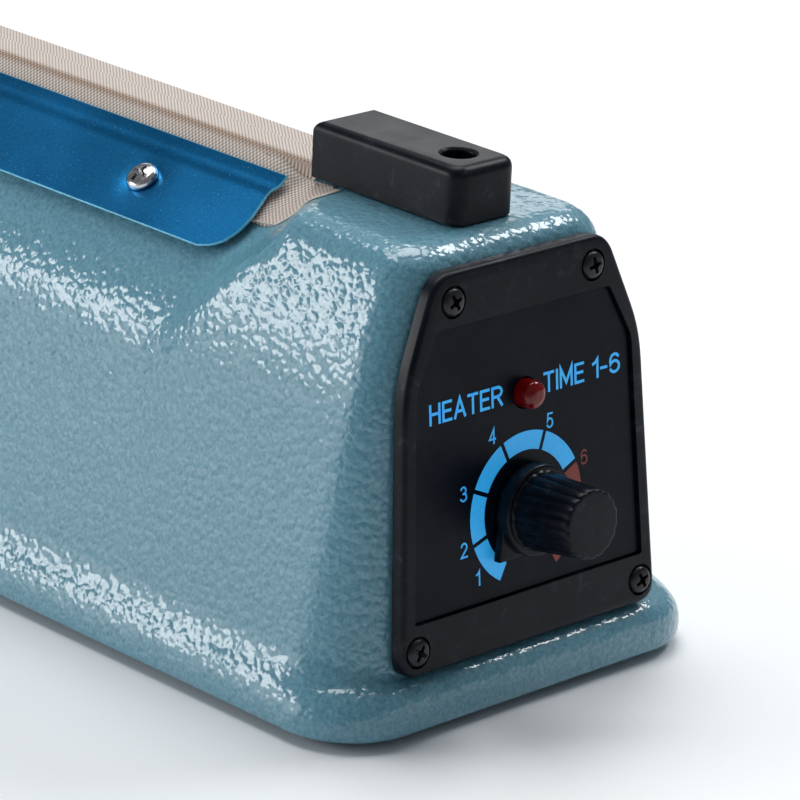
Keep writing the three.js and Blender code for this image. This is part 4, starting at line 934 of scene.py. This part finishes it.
def cloth_profile():
    """Half cross-section over the ridge and down a slope, from the centre outwards."""
    normal = (math.sin(SLOPE), math.cos(SLOPE))

    def under(t):
        return (PLATE_TOP[0] + t * math.cos(SLOPE) - normal[0] * CLOTH_UNDER,
                PLATE_TOP[1] - t * math.sin(SLOPE) - normal[1] * CLOTH_UNDER)
    return [(0, SEAL_TOP, 0), (5.2, SEAL_TOP, 0.7), (*under(1.2), 0.5), (*under(15), 0)]


def resampled(points, step):
    """Points along a polyline, about step apart."""
    p = np.array(points, float)
    run = np.concatenate([[0], np.cumsum(np.linalg.norm(np.diff(p, axis=0), axis=1))])
    s = np.linspace(0, run[-1], int(run[-1] / step) + 1)
    return list(zip(*(np.interp(s, run, p[:, k]) for k in range(2))))


def cloth_front(x):
    """Where the cloth's front edge lies: in the guide block's mouth, then a rounded tongue beside it."""
    x = abs(x)
    if x < MOUTH_HALF:
        return 47.2
    if x < 7.4:
        return 49.8 if x < 6.2 else 44.0
    if x > 15.7:
        return 56.0
    return 41.6 + 12 * (1 - (1 - (max(x - 8.5, 0.0) / 7.2) ** 2.6) ** (1 / 2.6))


def cloth_height(x, z, y):
    """The straight part hugs the ridge; the front end lies on the block's rear slope."""
    lie = smoothstep((60 - y) / 9)
    if abs(x) < MOUTH_HALF or lie == 0:
        return z
    return z + (casting_height(x, y) + 0.16 - z) * lie


def cloth():
    half = resampled(soft_path(cloth_profile(), 6), 0.3)
    columns = [(-x, z) for x, z in reversed(half[1:])] + half
    rear = SEAL_END - 1.0
    plain = np.concatenate([np.linspace(0, 1, 26)[:-1] * 0.06, np.linspace(0.06, 1, 90)])
    bm = bmesh.new()
    rows = []
    for share in plain:
        row = []
        for x, z in columns:
            front = cloth_front(x)
            y = front + (rear - front) * share
            row.append(bm.verts.new((x, y, cloth_height(x, z, y))))
        rows.append(row)
    for k, (low, high) in enumerate(zip(rows, rows[1:])):
        for i in range(len(columns) - 1):
            face = bm.faces.new((low[i], low[i + 1], high[i + 1], high[i]))
            face.material_index = 1 if k == 0 else 0
    flat_area = sum(f.calc_area() for f in bm.faces)
    width = sum(math.dist(a, b) for a, b in zip(columns, columns[1:]))
    return bm, (width, rear - cloth_front(8.0)), flat_area


def add_cloth():
    bm, (width, length), area = cloth()
    obj = piece("ptfe_cloth_sheet", bm, "ptfe_cloth", replaces=["ptfe_cloth"], angle=60)
    obj.data.materials.append(CLOTH_EDGE.material)
    thickness = obj.modifiers.new("thickness", "SOLIDIFY")
    thickness.thickness, thickness.offset = CLOTH_THICK * MM, 0.0


LIP, LIP_BEND = 3.2, math.radians(9)
PLATE_FRONT = [(0, 53.7), (2.4, 53.8), (4.0, 55.0), (6.5, 54.5), (9.9, 54.0), (13.0, 54.2), (15.8, 55.4),
               (17.3, 57.2), (18.1, 58.6), (18.4, 61.5)]


def plate_front(x):
    """The front edge of a clamp plate at x down its slope: a square lip, then a sweep to a rounded corner."""
    xs, ys = zip(*PLATE_FRONT)
    near = np.linspace(x - 0.6, x + 0.6, 7)
    return float(np.interp(near, xs, ys).mean())


def plate_height(x, y):
    """The sheet's outer face: the lip is bent up a little, and each screw draws the sheet into a dimple."""
    z = max(LIP - x, 0.0) * math.tan(LIP_BEND) + 0.25 * math.exp(-((x - LIP) / 0.7) ** 2)
    for screw_y in PLATE_SCREW_Y:
        r = math.hypot(x - SCREW_DOWN, y - screw_y)
        z -= 0.45 * math.exp(-(r / 3.6) ** 2)
    z += 0.06 * math.sin(y / 17.0) * math.sin(x / 5.0)
    return z


def clamp_plate():
    """A clamp plate with its bent lip and dimples; its edges are marked for a bright cyan finish, a painted
    highlight along them.
    """
    dense = [y + d for y in PLATE_SCREW_Y for d in np.arange(-8, 8.01, 0.8)]
    lengths = sorted(set(np.round(np.concatenate([np.arange(62, 348, 5.0), dense]), 2)))
    corner = PLATE_WIDTH - 5.8 * (1 - np.sin(np.linspace(0, math.pi / 2, 12)))
    columns = list(np.concatenate([np.linspace(0, LIP, 5), np.linspace(LIP, 12.4, 17)[1:], corner[1:]]))
    columns = sorted(set(np.round([c for c in columns if c <= PLATE_WIDTH], 3)))
    first, last = lengths[0], lengths[-1]
    bm = bmesh.new()

    def sheet(depth):
        rows, shares = [], np.linspace(0, 1, 8)
        for x in columns:
            front = plate_front(x)
            ys = [front + (first - front) * share for share in shares[:-1]] + lengths
            ys += [last + (SEAL_END + SEAL_START - front + 1 - last) * share for share in shares[1:]]
            rows.append([bm.verts.new((x, y, plate_height(x, y) - depth)) for y in ys])
        return rows

    top, under = sheet(0.0), sheet(PLATE_THICK)
    wide, long = len(top), len(top[0])
    rim = []
    for i in range(wide - 1):
        for j in range(long - 1):
            bm.faces.new((top[i][j], top[i + 1][j], top[i + 1][j + 1], top[i][j + 1]))
            bm.faces.new((under[i][j], under[i][j + 1], under[i + 1][j + 1], under[i + 1][j]))
        for j in (0, long - 1):
            rim.append(bm.faces.new((top[i][j], top[i + 1][j], under[i + 1][j], under[i][j])))
    for j in range(long - 1):
        for i in (0, wide - 1):
            rim.append(bm.faces.new((top[i][j], top[i][j + 1], under[i][j + 1], under[i][j])))
    for face in rim:
        face.material_index = 1
    return bm


def add_plate(side, word):
    obj = piece(f"{word}_clamp_plate", clamp_plate(), "blue_anodised", slope_matrix(side),
                replaces=[f"clamp_plate_{word}"], edge=0.18)
    obj.data.materials.append(PAINTED_EDGE_HIGHLIGHT.material)
    # The rounded edges take the bright cyan: a painted highlight.
    obj.modifiers["edge_round"].material = 1
    for i, y in enumerate(PLATE_SCREW_Y):
        shape = moved(screw(3.0, 1.8, 1.5, 8, turn=random.uniform(0, math.pi)), at=(SCREW_DOWN, y, -0.2))
        piece(f"{word}_clamp_screw_{i + 1}", shape, "plated_steel", slope_matrix(side),
              replaces=[f"clamp_screw_{word}_{i + 1}"])


# ------------------------------------------------------------------ arm
def arm_casting():
    y, z = PIVOT_MM.y, PIVOT_MM.z
    side = outline([(ARM_NOSE, NOSE_UNDERSIDE, 0), (NOSE_END, NOSE_UNDERSIDE, 0),
                    (NOSE_END + 2, ARM_UNDERSIDE, 0), (REAR_TERMINAL[1] + 9, ARM_UNDERSIDE, 0),
                    (y + 3, z - 12.5, 6), (y + 11, z - 4, 5), (y + 10, ARM_TOP - 2, 6),
                    (y - 40, ARM_TOP + 2, 30), (60, ARM_TOP - 1, 30), (ARM_NOSE, ARM_TOP - 4, 0)], 8)
    cuts = [box((-8.3, SEAL_START - GAP, 70), (8.3, SEAL_END - 1 + GAP, ARM_TOP - 6)),
            across_x(rod(HINGE_RADIUS + 0.2, -40, 40), y, z),
            box((-7.5, SPRING_Y - 10, 70), (7.5, SPRING_Y + 12, ARM_UNDERSIDE + 8)),
            *rods(1.7, 80, ARM_TOP + 9, [(0, GRIP_SCREW_Y)], 24),
            *rods(2.6, 80, NOSE_UNDERSIDE + 7, [(0, PIN_Y)], 24)]
    return combined(slab(side, ARM_HALF, 3.0), cuts)


def arm_handle():
    side = outline([(-9, ARM_TOP - 6, 6), (ARM_NOSE - 1, NOSE_UNDERSIDE, 0), (60, NOSE_UNDERSIDE, 0),
                    (60, ARM_TOP + 4.5, 0), (38, ARM_TOP + 9, 12), (10, ARM_TOP + 12, 12),
                    (-9, ARM_TOP + 9, 8)], 10)
    grip = slab(side, 13.5, 3.6, steps=7)
    nose = ARM_NOSE - GAP
    under = slab([(nose, 70), (70, 70), (70, ARM_TOP), (60, ARM_TOP - 0.5), (nose, ARM_TOP - 3.3)], 22, 0.01)
    seat = rods(1.7, 100, ARM_TOP + 20, [(0, GRIP_SCREW_Y)], 24)
    seat += rods(3.6, GRIP_SEAT, ARM_TOP + 20, [(0, GRIP_SCREW_Y)])
    ribs = []
    for k in range(7):
        for hand in (-1, 1):
            low = (hand * 13.5 - 0.5, 12 + 5 * k, ARM_TOP + 0.5)
            ribs.append(box(low, (hand * 13.5 + 0.5, 13.6 + 5 * k, ARM_TOP + 7)))
    return combined(grip, [under] + seat + ribs)


def helix_tube(radius, wire, turns, height, lean):
    """A coil of round wire that climbs by height and leans along y, with its end turns closer together."""
    rings, sides = [], 10
    count = int(turns * 36)
    rise_share = [smoothstep(k / count) * 0.25 + 0.75 * k / count for k in range(count + 1)]
    for k, share in enumerate(rise_share):
        a = 2 * math.pi * turns * k / count
        centre = Vector((radius * math.cos(a), radius * math.sin(a) + lean * share, height * share))
        out, up = Vector((math.cos(a), math.sin(a), 0)), Vector((0, 0, 1))
        rings.append([centre + wire * (out * math.cos(b) + up * math.sin(b))
                      for b in (2 * math.pi * s / sides for s in range(sides))])
    return loft(rings)


def add_spring():
    wire = 0.8
    low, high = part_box("return_spring")
    height = (high.z - low.z) / MM - 2 * wire
    lean = PLACE.inverted() @ ((low + high) / 2)
    shape = moved(helix_tube(4.6, wire, 5.5, height, 2 * (lean.y - SPRING_Y)),
                  at=(0, SPRING_Y, SPRING_SEAT + wire + GAP))
    obj = piece("return_spring_coil", shape, "plated_steel", replaces=["return_spring"])
    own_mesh(obj)


def add_arm():
    piece("arm_body", arm_casting(), "hammertone_paint", ARM, "arm", ["arm_casting"], edge=0.5)
    piece("arm_grip", arm_handle(), "black_plastic", ARM, "arm", ["arm_handle"], edge=0.3)
    shape = moved(screw(3.2, 2, 1.35, 14, 0.4), at=(0, GRIP_SCREW_Y, GRIP_SEAT + GAP))
    piece("grip_screw", shape, "plated_steel", ARM, "arm", ["handle_screw"])
    pin = turned([(0, 77, 0), (1.4, 77, 0.3), (2.2, 77.9, 0.3), (2.2, NOSE_UNDERSIDE + 6.5, 0),
                  (0, NOSE_UNDERSIDE + 6.5, 0)], 32)
    piece("actuator_pin_turned", moved(pin, at=(0, PIN_Y, 0)), "plated_steel", ARM, "arm", ["actuator_pin"])


# ------------------------------------------------------------------ hinge pin, feet and gland
def add_hinge_pin():
    reach = EAR_OUTER + 0.6
    r = HINGE_RADIUS
    pin = turned([(0, -reach - 2, 0), (5, -reach - 2, 0.6), (5, -reach, 0.2), (r, -reach, 0),
                  (r, reach + 0.6, 0), (2.3, reach + 0.6, 0), (2.3, reach + 1.8, 0),
                  (r, reach + 1.8, 0), (r - 0.1, reach + 3.2, 0.7), (0, reach + 3.2, 0)])
    piece("hinge_pin_turned", across_x(pin, PIVOT_MM.y, PIVOT_MM.z), "plated_steel", replaces=["hinge_pin"])


def add_foot(name, x, y):
    rim = 0.7
    foot = turned([(2.1, rim, 0), (2.1, -0.2, 0), (3.9, -0.2, 0.1), (3.9, -1.5, 0.2), (7, -1.5, 0.5),
                   (7.6, rim, 0.3)])
    piece(f"rubber_foot_{name}", moved(foot, at=(x, y, 0)), "rubber", replaces=[f"foot_{name}"])
    shape = moved(moved(screw(3.4, 0.9, 1.7, 7.2), Matrix.Rotation(math.pi, 4, "X")), at=(x, y, -0.4))
    piece(f"screw_of_foot_{name}", shape, "plated_steel", replaces=[f"foot_screw_{name}"])


def add_gland():
    bore, y = 3.4, CASTING_REAR - 8 + 1.4
    gland = turned([(bore, -8, 0), (5.6, -8, 0.4), (5.6, 1.2, 0), (8, 1.2, 0.3), (8, 3, 0.8),
                    (6.2, 4.4, 0.4), (6.0, 5.0, 0.2), (6.3, 5.6, 0.3), (5.7, 6.6, 0.3), (5.9, 7.4, 0.3),
                    (5.2, 9, 0.6), (bore, 9, 0.4)])
    shape = moved(gland, Matrix.Rotation(-math.pi / 2, 4, "X"), (0, y, INLET_Z))
    piece("cord_gland_moulded", shape, "rubber", replaces=["cord_gland"])


# ------------------------------------------------------------------ CAD pieces that keep their shapes
CAD_FINISHES = {part["node"]: part["material_slot"] for part in frame["record"]["subparts"]}


def finish_cad_nodes():
    for name, obj in frame["nodes"].items():
        if obj.hide_render:
            continue
        slot = CAD_FINISHES[name]
        obj.data.materials.clear()
        obj.data.materials.append(FINISHES[slot].material)
        weld = obj.modifiers.new("weld", "WELD")
        weld.merge_threshold = 0.01 * MM
        soften(obj, 0.25)


def build():
    random.seed(7)
    add_camera()
    add_studio()
    piece("casting_body", base_casting(), "hammertone_paint", replaces=["base_casting"])
    piece("bezel_frame", bezel(), "black_plastic", PANEL, replaces=["panel_bezel"], edge=0.22)
    piece("label_face", label(), "panel_label", PANEL, replaces=["label_plate"])
    dial_print()
    for i, (x, v) in enumerate(PANEL_SCREWS):
        shape = moved(screw(2.45, 1.4, 1.2, 8, random.uniform(0, math.pi)), at=(x, v, RIM_FRONT - 0.6))
        piece(f"bezel_screw_{i + 1}", shape, "black_steel", PANEL, replaces=[f"panel_screw_{i + 1}"])
    lens = turned([(0, -7, 0), (2.5, -7, 0), (2.5, 0.9, 0.5), (2.45, 2.6, 1.3), (1.3, 3.3, 1.0), (0, 3.3, 0)])
    piece("led_lens", moved(lens, at=(*LED_AT, 0)), "red_lens", PANEL, replaces=["indicator_led"])
    piece("fluted_knob", moved(timer_knob(), at=(0, DIAL_V, 0)), "black_plastic", PANEL, "timer_knob_body",
          ["timer_knob"])
    piece("guide_block_moulded", guide_block(), "black_plastic", replaces=["guide_block"], edge=0.12)
    add_cloth()
    for side, word in ((-1, "left"), (1, "right")):
        add_plate(side, word)
    add_arm()
    add_hinge_pin()
    add_spring()
    for (x, y), name in zip(FEET, ("front_left", "front_right", "rear_left", "rear_right")):
        add_foot(name, x, y)
    add_gland()
    finish_cad_nodes()


build()
